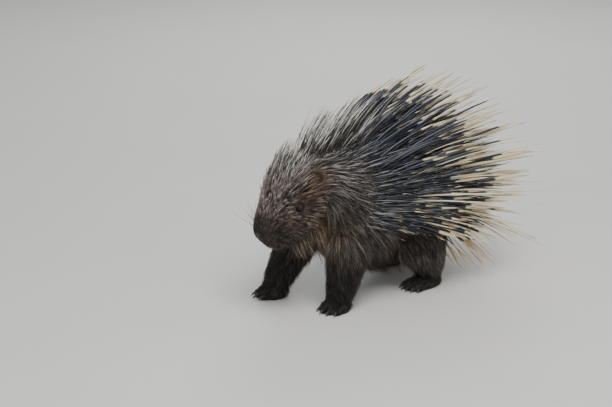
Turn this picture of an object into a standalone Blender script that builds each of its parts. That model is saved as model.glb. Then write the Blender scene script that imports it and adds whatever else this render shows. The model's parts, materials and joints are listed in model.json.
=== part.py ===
"""A porcupine, life size, as a still model in a museum shows it: head low and quills raised.

Metres, +Z up. It faces -Y and its left side is +X. The origin is on the floor, under the middle
of the box that holds the whole animal, quills included. The tables of stations are in
centimetres, and everything else is in metres.
"""

import math
import random

import bmesh
import bpy
import numpy as np
from mathutils import Matrix, Vector
from mathutils.bvhtree import BVHTree

CM = 0.01
GAP = 0.0003  # kept between nodes that touch
SEED = 11
SIDES = 24  # round the trunk and the head
LEFT, RIGHT = 1, -1

# The trunk from the rump to the joint of the head: y, z, tilt in degrees, half width, height
# above the centre and depth below it. A positive tilt leans the top of the section forward.
TRUNK = (
    (21.8, 14.6, -14, 0.8, 0.8, 0.8),
    (21.0, 14.9, -14, 3.2, 3.2, 3.4),
    (18.6, 15.7, -12, 5.9, 6.0, 6.2),
    (14.2, 17.0, -8, 8.2, 8.9, 8.3),
    (8.0, 18.4, -3, 9.5, 10.8, 9.9),
    (0.5, 19.3, 0, 9.8, 11.3, 10.4),
    (-4.5, 19.8, 0, 9.5, 11.0, 10.1),
    (-7.5, 20.2, 2, 9.0, 10.3, 9.6),
    (-10.6, 22.2, 16, 7.8, 8.2, 8.6),
    (-13.4, 24.8, 30, 5.9, 5.6, 5.6),
)
SHOULDER = 7  # station where the torso ends and the neck begins
NAPE = len(TRUNK) - 1  # station where the neck ends and the head begins

# The head from its joint to the nose: distance from the nose tip, half width, height above the
# axis and depth below it.
HEAD = (
    (14.0, 5.9, 5.6, 5.6),
    (12.0, 5.8, 6.1, 6.5),
    (10.0, 5.4, 6.1, 6.8),
    (8.0, 4.9, 5.7, 6.6),
    (6.0, 4.3, 5.0, 6.0),
    (4.0, 3.8, 4.3, 5.2),
    (2.2, 3.4, 3.5, 4.5),
    (0.9, 2.9, 2.6, 3.7),
    (0.1, 1.6, 1.5, 2.3),
)
HEAD_LENGTH = 14.0
HEAD_PITCH = 43.5  # degrees that the nose points down
HEAD_YAW = -7.0  # degrees, to the animal's right

# Legs from the body to the wrist or heel: x, y, z, half width, half depth.
FRONT_LEG = (
    (5.4, -6.6, 16.0, 2.6, 3.6),
    (6.2, -7.6, 12.0, 3.0, 3.9),
    (6.7, -8.9, 8.0, 2.6, 3.1),
    (6.7, -9.8, 5.0, 2.2, 2.4),
    (6.7, -10.4, 3.0, 2.0, 2.2),
)
REACHING_LEG = (
    (-5.4, -7.4, 16.0, 2.6, 3.6),
    (-6.2, -9.4, 12.0, 3.0, 3.9),
    (-6.8, -12.0, 8.0, 2.6, 3.1),
    (-7.0, -14.0, 5.0, 2.2, 2.4),
    (-7.1, -15.0, 3.0, 2.0, 2.2),
)
HIND_LEG = (
    (5.2, 12.0, 15.5, 3.2, 5.0),
    (6.9, 10.6, 11.5, 3.6, 5.2),
    (7.6, 10.6, 8.0, 3.3, 4.6),
    (7.4, 12.2, 5.2, 2.6, 3.2),
    (7.2, 13.4, 3.0, 2.1, 2.4),
)
HIND_STEP = 4.2  # how far the right hind foot stands behind the left one
STEP_SHARE = (0.25, 0.5, 0.75, 0.95, 1.0)  # how much of that step each station of the leg takes

# Feet: x and y of the ankle, the turn outwards in degrees, length of the sole ahead of the
# ankle and behind it, half width, and the number of toes.
FEET = {
    "front_left": (6.7, -10.4, 8.0, 3.2, 1.5, 2.3, 4),
    "front_right": (-7.1, -15.0, -28.0, 3.2, 1.5, 2.3, 4),
    "hind_left": (7.2, 13.4, 6.0, 5.6, 2.2, 2.4, 5),
    "hind_right": (-7.2, 13.4 + HIND_STEP, -8.0, 5.6, 2.2, 2.4, 5),
}
ANKLE_HEIGHT = 3.0
SOLE_THICKNESS = 1.5
TOE_RADIUS = 0.62
TOE_LENGTH = 1.5
CLAW_LENGTH = 1.3

EYE_STATION, EYE_ANGLE, EYE_RADIUS, EYE_SINK = 8.9, 80.0, 0.68, 0.36
EAR_STATION, EAR_ANGLE = 12.7, 57.0
EAR_HALF_WIDTH, EAR_HALF_LENGTH, EAR_HALF_DEPTH = 1.35, 1.95, 0.62

MOUTH_GAP, MOUTH_DROP, MOUTH_DEPTH = 0.14, 1.7, 0.4
LIP_HEIGHT, LIP_SWELL = 0.42, 0.13
NOSTRIL = (0.2, 0.7, 0.4)  # half sizes across, inwards and along the slit

# The tail: y, z, half width, half height.
TAIL = (
    (18.0, 13.0, 2.4, 2.2),
    (21.5, 11.2, 2.2, 2.0),
    (24.0, 9.9, 1.7, 1.6),
    (26.0, 9.0, 1.1, 1.1),
)

TAIL_QUILLS = 10

# Quills of the back by the y of their roots: length, rise above level on the spine's line,
# both interpolated between the entries.
QUILL_Y = (-4.0, 0.0, 5.0, 10.0, 15.0, 20.0)
QUILL_LENGTH = (18.0, 20.5, 21.0, 21.0, 21.0, 20.5)
QUILL_RISE = (66.0, 64.0, 55.0, 40.0, 23.0, 5.0)
# The same by the angle round the body from the spine's line: share of that length, share of
# that rise, degrees added to it, and the turn outwards.
QUILL_ANGLE = (0.0, 45.0, 80.0, 110.0, 140.0)
QUILL_SHARE = (1.0, 1.0, 0.85, 0.62, 0.5)
QUILL_RISE_SHARE = (1.0, 0.75, 0.2, 0.0, 0.0)
QUILL_RISE_ADDED = (0.0, 0.0, -2.0, -20.0, -34.0)
QUILL_TURN = (0.0, 20.0, 30.0, 30.0, 24.0)
QUILL_RADIUS = 0.0027
QUILL_SPACING = 2.5
WHIP_SHARE = 0.09  # of the quills, those that are long, thin and flexible
WHIP_STRETCH = 1.3

QUILL_FRONT = 6.1  # station where the quills of the back give way to the coat of the shoulders

# The crest of long bristles on the neck.
CREST_LENGTH, CREST_RADIUS, CREST_SPACING, CREST_ARCH = 13.0, 0.0019, 1.9, 0.16
CROWN_LENGTH = 6.5

LOCK_THICKNESS = 0.24  # of its width
BODY_CLIMB, HEAD_CLIMB = (0.0, 1.2, 2.4), (0.0, 0.5)  # how much higher a lock may rise over others

# The coat in flat locks, by stations from and to, degrees from the spine's line from and to,
# spacing, length, width, the height of the tips over the surface, and the fall towards the belly.
TORSO_COAT = (
    (6.15, 6.75, 44, 165, 2.8, 7.5, 1.5, 1.9, 0.14),
    (2.0, 6.1, 116, 165, 3.2, 7.5, 1.7, 2.0, 0.28),
)
NECK_COAT = (
    (7.3, 8.75, 46, 140, 2.45, 6.5, 1.4, 2.2, 0.12),
    (7.4, 8.75, 140, 178, 2.4, 4.5, 1.5, 2.0, 0.0),
)
HEAD_COAT = (
    (7.4, 13.2, 84, 170, 2.8, 3.6, 1.4, 1.1, 0.08),
)

# Looks of the nodes by the start of their names: base colour, roughness.
LOOKS = {
    "torso": ((0.10, 0.09, 0.08), 0.6),
    "neck": ((0.17, 0.14, 0.12), 0.7),
    "head": ((0.16, 0.12, 0.10), 0.75),
    "ear": ((0.19, 0.13, 0.10), 0.7),
    "eye": ((0.008, 0.007, 0.006), 0.08),
    "leg": ((0.03, 0.027, 0.025), 0.75),
    "foot": ((0.035, 0.03, 0.028), 0.65),
    "claw": ((0.07, 0.055, 0.045), 0.4),
    "tail": ((0.35, 0.31, 0.26), 0.6),
}

rng = random.Random(SEED)


def blend(xs, ys, x):
    return float(np.interp(x, xs, ys))


def smooth(table, t):
    """The row at station t of a table, on a smooth curve through its rows."""
    rows = np.asarray(table, float)
    i = min(max(int(math.floor(t)), 0), len(rows) - 2)
    u = t - i
    p1, p2 = rows[i], rows[i + 1]
    p0 = rows[i - 1] if i > 0 else 2 * p1 - p2
    p3 = rows[i + 2] if i + 2 < len(rows) else 2 * p2 - p1
    m1, m2 = (p2 - p0) / 2, (p3 - p1) / 2
    return (
        (2 * u**3 - 3 * u**2 + 1) * p1
        + (u**3 - 2 * u**2 + u) * m1
        + (3 * u**2 - 2 * u**3) * p2
        + (u**3 - u**2) * m2
    )


def section_point(centre, tilt, yaw, half_width, up, down, angle):
    """A point at an angle, from the top and towards the left, on one egg-shaped section."""
    side = half_width * math.sin(angle)
    rise = (up if math.cos(angle) > 0 else down) * math.cos(angle)
    lean = Vector((side, -rise * math.sin(tilt), rise * math.cos(tilt)))
    return centre + Matrix.Rotation(yaw, 3, "Z") @ lean


def trunk_point(t, angle, grow=0.0):
    """A point on the trunk's surface, grown outwards by a few metres' thousandths if asked."""
    y, z, tilt, half_width, up, down = smooth(TRUNK, t)
    centre = Vector((0, y * CM, z * CM))
    radii = (half_width * CM + grow, up * CM + grow, down * CM + grow)
    return section_point(centre, math.radians(tilt), 0.0, *radii, angle)


def head_frame(from_nose):
    """The centre, tilt and yaw of the head's section at a distance from the nose tip."""
    share = 1 - from_nose / HEAD_LENGTH
    joint_y, joint_z, joint_tilt = TRUNK[NAPE][:3]
    pitch, yaw = math.radians(HEAD_PITCH), math.radians(HEAD_YAW)
    ahead = (HEAD_LENGTH - from_nose) * CM
    along = Vector((0, -math.cos(pitch), -math.sin(pitch))) * ahead
    bend = min(share * 2.5, 1.0)
    centre = Vector((0, joint_y * CM, joint_z * CM)) + Matrix.Rotation(yaw * bend, 3, "Z") @ along
    tilt = math.radians(joint_tilt + (HEAD_PITCH - joint_tilt) * bend)
    return centre, tilt, yaw * bend


def head_swell(from_nose, angle):
    """How far cheeks, brows and the swollen nose stand out from the head's plain sections."""
    def hill(x, middle, width):
        return math.exp(-(((x - middle) / width) ** 2))

    degrees = abs(math.degrees(math.atan2(math.sin(angle), math.cos(angle))))
    cheek = 0.35 * hill(from_nose, 9.5, 2.2) * hill(degrees, 112, 24)
    brow = 0.28 * hill(from_nose, 9.7, 1.6) * hill(degrees, 42, 14)
    hollow = -0.22 * hill(from_nose, 8.4, 1.5) * hill(degrees, 66, 14)
    muzzle = 0.28 * hill(from_nose, 2.0, 1.5) * hill(degrees, 95, 30)
    return (cheek + brow + hollow + muzzle) * CM


def head_point(from_nose, angle, grow=0.0):
    t = np.interp(-from_nose, [-row[0] for row in HEAD], range(len(HEAD)))
    _, half_width, up, down = smooth(HEAD, float(t))
    centre, tilt, yaw = head_frame(from_nose)
    grow += head_swell(from_nose, angle)
    radii = (half_width * CM + grow, up * CM + grow, down * CM + grow)
    return section_point(centre, tilt, yaw, *radii, angle)


def normal_of(surface, t, angle):
    """The outward normal of a surface of stations and angles."""
    step = 0.01
    along = surface(t + step, angle) - surface(t - step, angle)
    round_it = surface(t, angle + step) - surface(t, angle - step)
    found = round_it.cross(along).normalized()
    centre = (surface(t, angle) + surface(t, angle + math.pi)) / 2
    return found if found.dot(surface(t, angle) - centre) > 0 else -found


def new_object(name, mesh_builder):
    """An object whose mesh comes from a bmesh, with its faces pointing out."""
    mesh = bpy.data.meshes.new(name)
    bmesh.ops.recalc_face_normals(mesh_builder, faces=mesh_builder.faces)
    mesh_builder.to_mesh(mesh)
    mesh_builder.free()
    obj = bpy.data.objects.new(name, mesh)
    bpy.context.scene.collection.objects.link(obj)
    return obj


def loft(name, rings, tip=None, split=False):
    """A closed skin over rings of equal count, capped flat, or drawn to a tip at the last.

    Split cuts every face the same way, so that a grown copy of a body runs parallel to it.
    """
    made = bmesh.new()
    rows = [[made.verts.new(p) for p in ring] for ring in rings]
    count = len(rows[0])
    for below, above in zip(rows, rows[1:]):
        for k in range(count):
            nxt = (k + 1) % count
            made.faces.new((below[k], below[nxt], above[nxt], above[k]))
    made.faces.new(rows[0])
    if tip is None:
        made.faces.new(rows[-1])
    else:
        end = made.verts.new(tip)
        for k in range(count):
            made.faces.new((rows[-1][k], rows[-1][(k + 1) % count], end))
    split_faces = [f for f in made.faces if split or len(f.verts) > 4]
    bmesh.ops.triangulate(made, faces=split_faces, quad_method="FIXED")
    return new_object(name, made)


def ball(name, centre, radii, turn=None, segments=16):
    bpy.ops.mesh.primitive_uv_sphere_add(segments=segments, ring_count=segments // 2, radius=1.0)
    obj = bpy.context.object
    obj.name = name
    obj.data.transform(Matrix.Diagonal((*radii, 1.0)))
    if turn is not None:
        obj.data.transform(turn.to_4x4())
    obj.data.transform(Matrix.Translation(centre))
    return obj


def join(target, others, operation="UNION"):
    """Unites target with other closed meshes, or cuts them from it, and removes them."""
    if not others:
        return target
    group = bpy.data.collections.new("pieces")
    bpy.context.scene.collection.children.link(group)
    for obj in others:
        for home in obj.users_collection:
            home.objects.unlink(obj)
        group.objects.link(obj)
    modifier = target.modifiers.new("join", "BOOLEAN")
    modifier.operand_type = "COLLECTION"
    modifier.collection = group
    modifier.operation = operation
    modifier.solver = "MANIFOLD"
    bpy.context.view_layer.objects.active = target
    bpy.ops.object.modifier_apply(modifier=modifier.name)
    for obj in others:
        bpy.data.meshes.remove(obj.data)
    bpy.data.collections.remove(group)
    return target


def keep_largest(obj):
    """Drops every closed surface of an object but the largest one."""
    made = bmesh.new()
    made.from_mesh(obj.data)
    bmesh.ops.triangulate(made, faces=made.faces)
    unseen, best, best_volume = set(made.faces), [], 0.0
    while unseen:
        stack, found = [unseen.pop()], []
        while stack:
            face = stack.pop()
            found.append(face)
            for edge in face.edges:
                for other in edge.link_faces:
                    if other in unseen:
                        unseen.remove(other)
                        stack.append(other)
        volume = abs(sum(f.verts[0].co.dot(f.verts[1].co.cross(f.verts[2].co)) for f in found))
        if volume > best_volume:
            best, best_volume = found, volume
    kept = set(best)
    bmesh.ops.delete(made, geom=[f for f in made.faces if f not in kept], context="FACES")
    made.to_mesh(obj.data)
    made.free()
    return obj


class Room:
    """The nodes that are already made, so that a new spine or lock can keep clear of them."""

    def __init__(self):
        self.nodes = []

    def take(self, obj):
        self.nodes.append(BVHTree.FromPolygons(
            [v.co for v in obj.data.vertices], [p.vertices for p in obj.data.polygons]
        ))
        return obj

    def blocked(self, point, radius):
        """Whether a ball would touch a node or the floor."""
        if point.z < radius + 2 * GAP:
            return True
        return any(node.find_nearest(point, radius + 2 * GAP)[0] is not None for node in self.nodes)


def blade(name, path, half_widths, half_thicks, across, sides):
    """A tapered spine or lock along a path: a prism of few sides that ends in a point."""
    rings = []
    for i, centre in enumerate(path[:-1]):
        ahead = (path[i + 1] - path[max(i - 1, 0)]).normalized()
        side = (across - ahead * across.dot(ahead)).normalized()
        thick = ahead.cross(side)
        ring = []
        for k in range(sides):
            a = 2 * math.pi * k / sides
            ring.append(
                centre + side * half_widths[i] * math.cos(a) + thick * half_thicks[i] * math.sin(a)
            )
        rings.append(ring)
    return loft(name, rings, tip=path[-1])


def free_share(path, radius, room, across=None):
    """The share of a path, from where it leaves the body, that keeps clear of other nodes."""
    sides = (0.0,) if across is None else (-1.0, -0.5, 0.0, 0.5, 1.0)
    offsets = [(across or Vector()) * side for side in sides]
    clear = 0.0
    pieces = list(zip(path[1:], path[2:]))
    if any(room.blocked(path[1] + offset, radius) for offset in offsets):
        return clear
    for i, (start, end) in enumerate(pieces):
        steps = max(int((end - start).length / (radius + 0.002)), 2)
        for k in range(1, steps + 1):
            centre = start.lerp(end, k / steps)
            if any(room.blocked(centre + offset, radius) for offset in offsets):
                return clear
            clear = (i + k / steps) / len(pieces)
    return 1.0


def shortened(path, share):
    """The same path, cut short at a share of its free length."""
    free = path[1:]
    spans = len(free) - 1
    made = []
    for k in range(spans + 1):
        at = min(share * k, spans * 0.99999)
        i = int(at)
        made.append(free[i].lerp(free[i + 1], at - i))
    return [path[0]] + made


def spine_path(root, normal, direction, length, sink, droop, arch, pieces=3):
    """A rooted path: it starts under the surface, leaves it and arches back and down."""
    path = [root - (normal * 0.7 + direction * 0.3) * sink]
    for k in range(pieces + 1):
        share = k / pieces
        bend = Vector((0, arch, -droop)) * length * share**2
        path.append(root + direction * length * share + bend)
    return path


def lying_path(surface, t, angle, length, lift, sink, fall, backward=-1, pieces=3):
    """A path that leaves the surface and follows it backwards, rising to lift at its tip."""
    normal = normal_of(surface, t, angle)
    path = [surface(t, angle) - normal * sink]
    for k in range(pieces + 1):
        share = k / pieces
        path.append(surface(t, angle, lift * share**0.8))
        pace = (surface(t + 0.01, angle) - surface(t - 0.01, angle)).length / 0.02
        girth = (surface(t, angle + 0.01) - surface(t, angle - 0.01)).length / 0.02
        t += backward * length / pieces / max(pace, 0.004)
        angle += math.copysign(fall, angle) * length / pieces / girth
    return path


def roots(surface, first, last, lowest, highest, spacing, jitter=0.22):
    """Staggered rows of places on a surface, evenly spaced both along and round it."""
    rows, t = [], first
    step_sign = 1 if last > first else -1
    while (last - t) * step_sign > 0:
        rows.append(t)
        middle = (lowest + highest) / 2
        pace = (surface(t + 0.01, middle) - surface(t - 0.01, middle)).length / 0.02
        t += step_sign * spacing * 0.87 / max(pace, 0.004)
    for row, t in enumerate(rows):
        girth = (surface(t, 0.8) - surface(t, 0.79)).length / 0.01
        count = max(int((highest - lowest) * girth / spacing), 1)
        for k in range(count):
            share = (k + 0.5 * (row % 2) + 0.25 + rng.uniform(-jitter, jitter)) / count
            yield t + rng.uniform(-jitter, jitter) * 0.4, lowest + share * (highest - lowest)


def quill_direction(y, angle):
    """Where a quill of the back points, and how long it is."""
    degrees = abs(math.degrees(angle))
    rise = blend(QUILL_Y, QUILL_RISE, y) * blend(QUILL_ANGLE, QUILL_RISE_SHARE, degrees)
    rise = math.radians(rise + blend(QUILL_ANGLE, QUILL_RISE_ADDED, degrees) + rng.uniform(-6, 6))
    turn = math.copysign(blend(QUILL_ANGLE, QUILL_TURN, degrees), angle) + rng.uniform(-5, 5)
    turn = math.radians(turn)
    length = blend(QUILL_Y, QUILL_LENGTH, y) * blend(QUILL_ANGLE, QUILL_SHARE, degrees) * CM
    direction = Vector(
        (math.sin(turn) * math.cos(rise), math.cos(turn) * math.cos(rise), math.sin(rise))
    )
    return direction, length * rng.uniform(0.85, 1.12)


def spine(name, path, radius, across, room, shortest):
    """A thin pointed spine along a path, cut short where another node is in its way."""
    share = free_share(path, radius, room)
    if share < shortest:
        return None
    if share < 1:
        path = shortened(path, share * 0.95)
    widths = [radius * w for w in (0.85, 0.95, 1.0, 0.66)[: len(path) - 2] + (0.66,)]
    return blade(name, path, widths, widths, across, 3)


def quill(t, angle, room):
    """One quill of the back, or None where there is no room for it."""
    root, normal = trunk_point(t, angle), normal_of(trunk_point, t, angle)
    direction, length = quill_direction(root.y / CM, angle)
    radius, pieces = QUILL_RADIUS * rng.uniform(0.85, 1.15), 2
    raised = max(direction.z, 0.0)
    droop, arch = 0.04 + 0.30 * raised, 0.40 * raised
    if rng.random() < WHIP_SHARE and root.y > 0.05:
        length *= WHIP_STRETCH
        radius, droop, pieces = radius * 0.62, droop + 0.08, 3
    lift = direction.dot(normal)
    if lift < 0.25:
        direction = (direction + normal * (0.25 - lift)).normalized()
    path = spine_path(root, normal, direction, length, 0.009, droop, arch, pieces)
    if free_share(path, radius, room) < 1:
        direction = (direction + normal * 0.35).normalized()
        path = spine_path(root, normal, direction, length, 0.009, droop, arch, pieces)
    return spine("quill", path, radius, direction.cross(normal).normalized(), room, 0.4)


def bristle(surface, t, angle, rise, turn, length, arch, room):
    """One thin bristle of the crest, arching back towards its tip."""
    root, normal = surface(t, angle), normal_of(surface, t, angle)
    direction = Vector((math.sin(turn) * math.cos(rise), math.cos(turn) * math.cos(rise), math.sin(rise)))
    path = spine_path(root, normal, direction, length, 0.007, 0.35 * arch, arch, 2)
    return spine("bristle", path, CREST_RADIUS * rng.uniform(0.9, 1.1), direction.cross(normal).normalized(), room, 0.4)


def crest(surface, first, last, spread, spacing, rise, length, room):
    """Bristles over the top of the head, the neck or the shoulders."""
    made = []
    for t, angle in roots(surface, first, last, -spread, spread, spacing * CM):
        lean = math.radians(rise + rng.uniform(-7, 7))
        turn = angle * 0.5 + math.radians(rng.uniform(-8, 8))
        made.append(bristle(surface, t, angle, lean, turn, length * CM * rng.uniform(0.8, 1.1), CREST_ARCH, room))
    return [piece for piece in made if piece]


def lock(surface, t, angle, length, width, lift, fall, backward, climb, room):
    """One flat lock of the coat, or None where there is no room for it.

    Where it would meet another node it is lifted over it, or else cut short.
    """
    best, path = 0.0, None
    for rise in climb:
        tried = lying_path(surface, t, angle, length, lift + rise * CM, 0.006, fall, backward)
        across = (tried[2] - tried[1]).cross(normal_of(surface, t, angle)).normalized()
        share = free_share(tried, width * 0.1 + 0.0015, room, across * width / 2)
        if share > best + 0.1:
            best, path, side = share, tried, across
    if best * length < 0.014:
        return None
    if best < 1:
        path = shortened(path, best * 0.93)
    widths = [width * w / 2 for w in (0.5, 0.85, 1.0, 0.66)]
    return blade("lock", path, widths, [w * LOCK_THICKNESS for w in widths], side, 4)


def coat(surface, table, backward, climb, room):
    """The locks of a table, on both sides."""
    made = []
    for first, last, low, high, spacing, length, width, lift, fall in table:
        for t, angle in roots(surface, first, last, math.radians(low), math.radians(high), spacing * CM):
            for side in (LEFT, RIGHT):
                reach = length * CM * rng.uniform(0.85, 1.15)
                sizes = (reach, width * CM, lift * CM, fall)
                made.append(lock(surface, t, angle * side, *sizes, backward, climb, room))
    return [piece for piece in made if piece]


def trunk_rings(first, last, count, grow=0.0):
    angles = [2 * math.pi * k / SIDES for k in range(SIDES)]
    return [
        [trunk_point(first + (last - first) * i / (count - 1), a, grow) for a in angles]
        for i in range(count)
    ]


def head_rings(first, last, count, grow=0.0):
    """Rings of the head, set closer towards the nose."""
    angles = [2 * math.pi * k / SIDES for k in range(SIDES)]
    shares = [1 - (1 - i / (count - 1)) ** 1.5 for i in range(count)]
    return [[head_point(first + (last - first) * s, a, grow) for a in angles] for s in shares]


def leg_stations(name):
    """The leg's table, mirrored and moved for the legs of the right side."""
    if name == "front_left":
        return FRONT_LEG
    if name == "front_right":
        return REACHING_LEG
    if name == "hind_left":
        return HIND_LEG
    return tuple((-x, y + HIND_STEP * step, z, w, d) for (x, y, z, w, d), step in zip(HIND_LEG, STEP_SHARE))


def level_ring(x, y, z, half_width, half_depth, count=11):
    return [
        Vector((x + half_width * math.cos(a), y + half_depth * math.sin(a), z)) * CM
        for a in (2 * math.pi * k / count for k in range(count))
    ]


def leg_rings(name, grow=0.0):
    table = leg_stations(name)
    rings = []
    for k in range(2 * len(table) - 1):
        x, y, z, half_width, half_depth = smooth(table, k / 2)
        rings.append(level_ring(x, y, z, half_width + grow / CM, half_depth + grow / CM))
    return rings


def torso_rings():
    return trunk_rings(0, SHOULDER, 15)


def neck_rings():
    return trunk_rings(SHOULDER + 0.012, NAPE, 7)


def swollen(obj, distance=GAP * 2):
    """The same body grown evenly, to cut its neighbours with a gap."""
    for vertex, normal in [(v, v.normal.copy()) for v in obj.data.vertices]:
        vertex.co += normal * distance
    return obj


def whole_trunk():
    """Torso and neck as one body, to cut other pieces clear of them."""
    return swollen(loft("cutter", torso_rings() + neck_rings(), split=True))


def make_leg(name):
    leg = loft("leg_" + name, leg_rings(name))
    return keep_largest(join(leg, [whole_trunk()], "DIFFERENCE"))


def toe_places(name):
    """Where each toe starts and ends, fanned out ahead of the foot."""
    x, y, turn, ahead, _, half_width, count = FEET[name]
    facing = Matrix.Rotation(math.radians(turn), 3, "Z")
    for k in range(count):
        share = (k / (count - 1) - 0.5) * 2
        start = Vector((share * (half_width - 0.75), -(ahead - 0.9 - 0.5 * share**2), 0.95))
        fan = Vector((share * 0.35, -1.0, 0.0)).normalized()
        end = start + fan * TOE_LENGTH * (1 - 0.18 * share**2) + Vector((0, 0, -0.3))
        ankle = Vector((x, y, 0))
        yield (ankle + facing @ start) * CM, (ankle + facing @ end) * CM


def tube(name, start, end, radii, sides=6):
    """A short closed tube of changing radius between two points."""
    ahead = (end - start).normalized()
    side = ahead.cross(Vector((0, 0, 1))).normalized()
    rise = side.cross(ahead)
    rings = []
    for i, radius in enumerate(radii):
        centre = start.lerp(end, i / (len(radii) - 1))
        ring = [2 * math.pi * (k + 0.5) / sides for k in range(sides)]
        rings.append([centre + (side * math.cos(a) + rise * math.sin(a)) * radius for a in ring])
    return loft(name, rings)


def make_foot(name):
    """A paw with its toes, flat underneath where it stands."""
    x, y, turn, ahead, behind, half_width, _ = FEET[name]
    _, _, _, ankle_width, ankle_depth = leg_stations(name)[-1]
    facing = Matrix.Rotation(math.radians(turn), 3, "Z")
    middle = Vector((x, y, 0)) + facing @ Vector((0, -(ahead - behind) / 2, 0))
    ankle = loft(
        "foot_" + name,
        [
            level_ring(x, y, ANKLE_HEIGHT - GAP / CM, ankle_width, ankle_depth),
            level_ring(*x_y_between((x, y), middle, 0.25), 1.7, ankle_width + 0.1, ankle_depth + 0.2),
            level_ring(*x_y_between((x, y), middle, 0.45), -0.4, ankle_width - 0.2, ankle_depth),
        ],
    )
    pad = ball("pad", (middle + Vector((0, 0, 0.55))) * CM,
               (half_width * CM, (ahead + behind) / 2 * CM, SOLE_THICKNESS * CM), facing, 12)
    toes = [
        tube("toe", start.lerp(end, -0.9), end, [TOE_RADIUS * CM * w for w in (1.1, 1.15, 0.78)])
        for start, end in toe_places(name)
    ]
    join(ankle, [pad, *toes])
    bpy.ops.mesh.primitive_cube_add(size=0.4, location=(x * CM, y * CM, -0.2))
    return keep_largest(join(ankle, [bpy.context.object], "DIFFERENCE"))


def x_y_between(start, end, share):
    return start[0] + (end[0] - start[0]) * share, start[1] + (end[1] - start[1]) * share


def make_claws(name):
    """A curved claw ahead of each toe."""
    claws = []
    for number, (start, end) in enumerate(toe_places(name), 1):
        ahead = (end - start).normalized()
        flat = Vector((ahead.x, ahead.y, 0)).normalized()
        root = end + ahead * GAP
        reach = CLAW_LENGTH * CM
        path = [
            root,
            root + ahead * reach * 0.4 + Vector((0, 0, 0.0006)),
            root + flat * reach * 0.75 + Vector((0, 0, -0.0004)),
            root + flat * reach,
        ]
        path[-1].z = 0.0012
        path[-2].z = max(path[-2].z, 0.0034)
        across = flat.cross(Vector((0, 0, 1)))
        sizes = [0.0026, 0.0025, 0.0016]
        claws.append(blade(f"claw_{name}_{number}", path, [s * 0.8 for s in sizes], sizes, across, 5))
    return claws


def make_tail():
    """A short stub that hangs from the rump, with hollow white quills at its end."""
    rings = []
    for k in range(2 * len(TAIL) - 1):
        y, z, half_width, half_height = smooth(TAIL, k / 2)
        centre = Vector((0, y, z)) * CM
        lean = math.radians(28)
        ring = []
        for j in range(12):
            a = 2 * math.pi * j / 12
            ring.append(centre + Vector((half_width * math.sin(a), half_height * math.cos(a) * math.sin(lean),
                                         half_height * math.cos(a) * math.cos(lean))) * CM)
        rings.append(ring)
    tail = loft("tail", rings)
    quills = []
    for k in range(TAIL_QUILLS):
        a = 2 * math.pi * k / TAIL_QUILLS + rng.uniform(-0.2, 0.2)
        ring = 0.45 + 0.45 * (k % 2)
        root = Vector((0.9 * ring * math.sin(a), 25.2, 9.2 + 0.9 * ring * math.cos(a))) * CM
        direction = Vector((0.35 * math.sin(a), 1.0, -0.42 + 0.3 * math.cos(a))).normalized()
        length = rng.uniform(0.032, 0.045)
        path = [root - direction * 0.006] + [root + direction * length * s for s in (0.0, 0.35, 0.8, 1.0)]
        widths = [0.0012, 0.0016, 0.0022, 0.0020]
        quills.append(blade("quill", path, widths, widths, Vector((1, 0, 0)), 3))
    join(tail, quills)
    return keep_largest(join(tail, [whole_trunk()], "DIFFERENCE"))


def eye_place(side):
    """The centre of an eyeball and the outward normal of the head there."""
    angle = math.radians(EYE_ANGLE) * side
    normal = normal_of(head_point, EYE_STATION, angle)
    return head_point(EYE_STATION, angle) - normal * EYE_SINK * CM, normal


def ear_frame(side):
    """The foot of an ear and its directions: across, through its cup, and towards its tip."""
    angle = math.radians(EAR_ANGLE) * side
    foot = head_point(EAR_STATION, angle)
    tip = Vector((0.55 * side, 0.35, 0.75)).normalized()
    facing = Vector((0.72 * side, -0.68, -0.1))
    facing = (facing - tip * facing.dot(tip)).normalized()
    across = facing.cross(tip)
    return foot, Matrix((across, facing, tip)).transposed()


def make_eye(side, name):
    centre, _ = eye_place(side)
    return ball(name, centre, (EYE_RADIUS * CM,) * 3, segments=12)


def make_ear(side, name):
    """A small rounded cup, open to the front and the side."""
    foot, turn = ear_frame(side)
    radii = Vector((EAR_HALF_WIDTH, EAR_HALF_DEPTH, EAR_HALF_LENGTH)) * CM
    centre = foot + turn.col[2] * EAR_HALF_LENGTH * 0.55 * CM
    ear = ball(name, centre, radii, turn, 12)
    wall = 0.2 * CM
    hollow = ball("hollow", centre + turn.col[1] * 0.42 * CM, radii - Vector((wall, 0.05 * CM, wall)), turn, 12)
    join(ear, [hollow, swollen(head_core("cutter")), whole_trunk()], "DIFFERENCE")
    return keep_largest(ear)


def head_core(name, grow=0.0):
    nose_end = head_point(0.1, 0, grow).lerp(head_point(0.1, math.pi, grow), 0.5)
    front = Vector((0, -math.cos(math.radians(HEAD_PITCH)), -math.sin(math.radians(HEAD_PITCH))))
    rings = head_rings(HEAD_LENGTH - 0.04, 0.1, 14, grow)
    return loft(name, rings, tip=nose_end + front * (0.0012 + grow), split=True)


def head_axes(from_nose):
    """The centre of a head section and its directions: left, up and ahead."""
    centre, tilt, yaw = head_frame(from_nose)
    turn = Matrix.Rotation(yaw, 3, "Z")
    up = turn @ Vector((0, -math.sin(tilt), math.cos(tilt)))
    left = turn @ Vector((1, 0, 0))
    return centre, left, up, up.cross(left)


def jaw_slab(drop, height):
    """A flat slab across the front of the jaws, so far under the head's axis."""
    centre, left, up, ahead = head_axes(2.0)
    bpy.ops.mesh.primitive_cube_add(size=1.0)
    slab = bpy.context.object
    slab.data.transform(Matrix.Diagonal((0.09, 0.052, height * CM, 1.0)))
    slab.data.transform(Matrix((left, ahead, up)).transposed().to_4x4())
    slab.data.transform(Matrix.Translation(centre - up * drop * CM))
    return slab


def mouth_groove():
    """The line of the mouth: a slab less the flesh behind the lips."""
    return join(jaw_slab(MOUTH_DROP, MOUTH_GAP), [head_core("flesh", -MOUTH_DEPTH * CM)], "DIFFERENCE")


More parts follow.
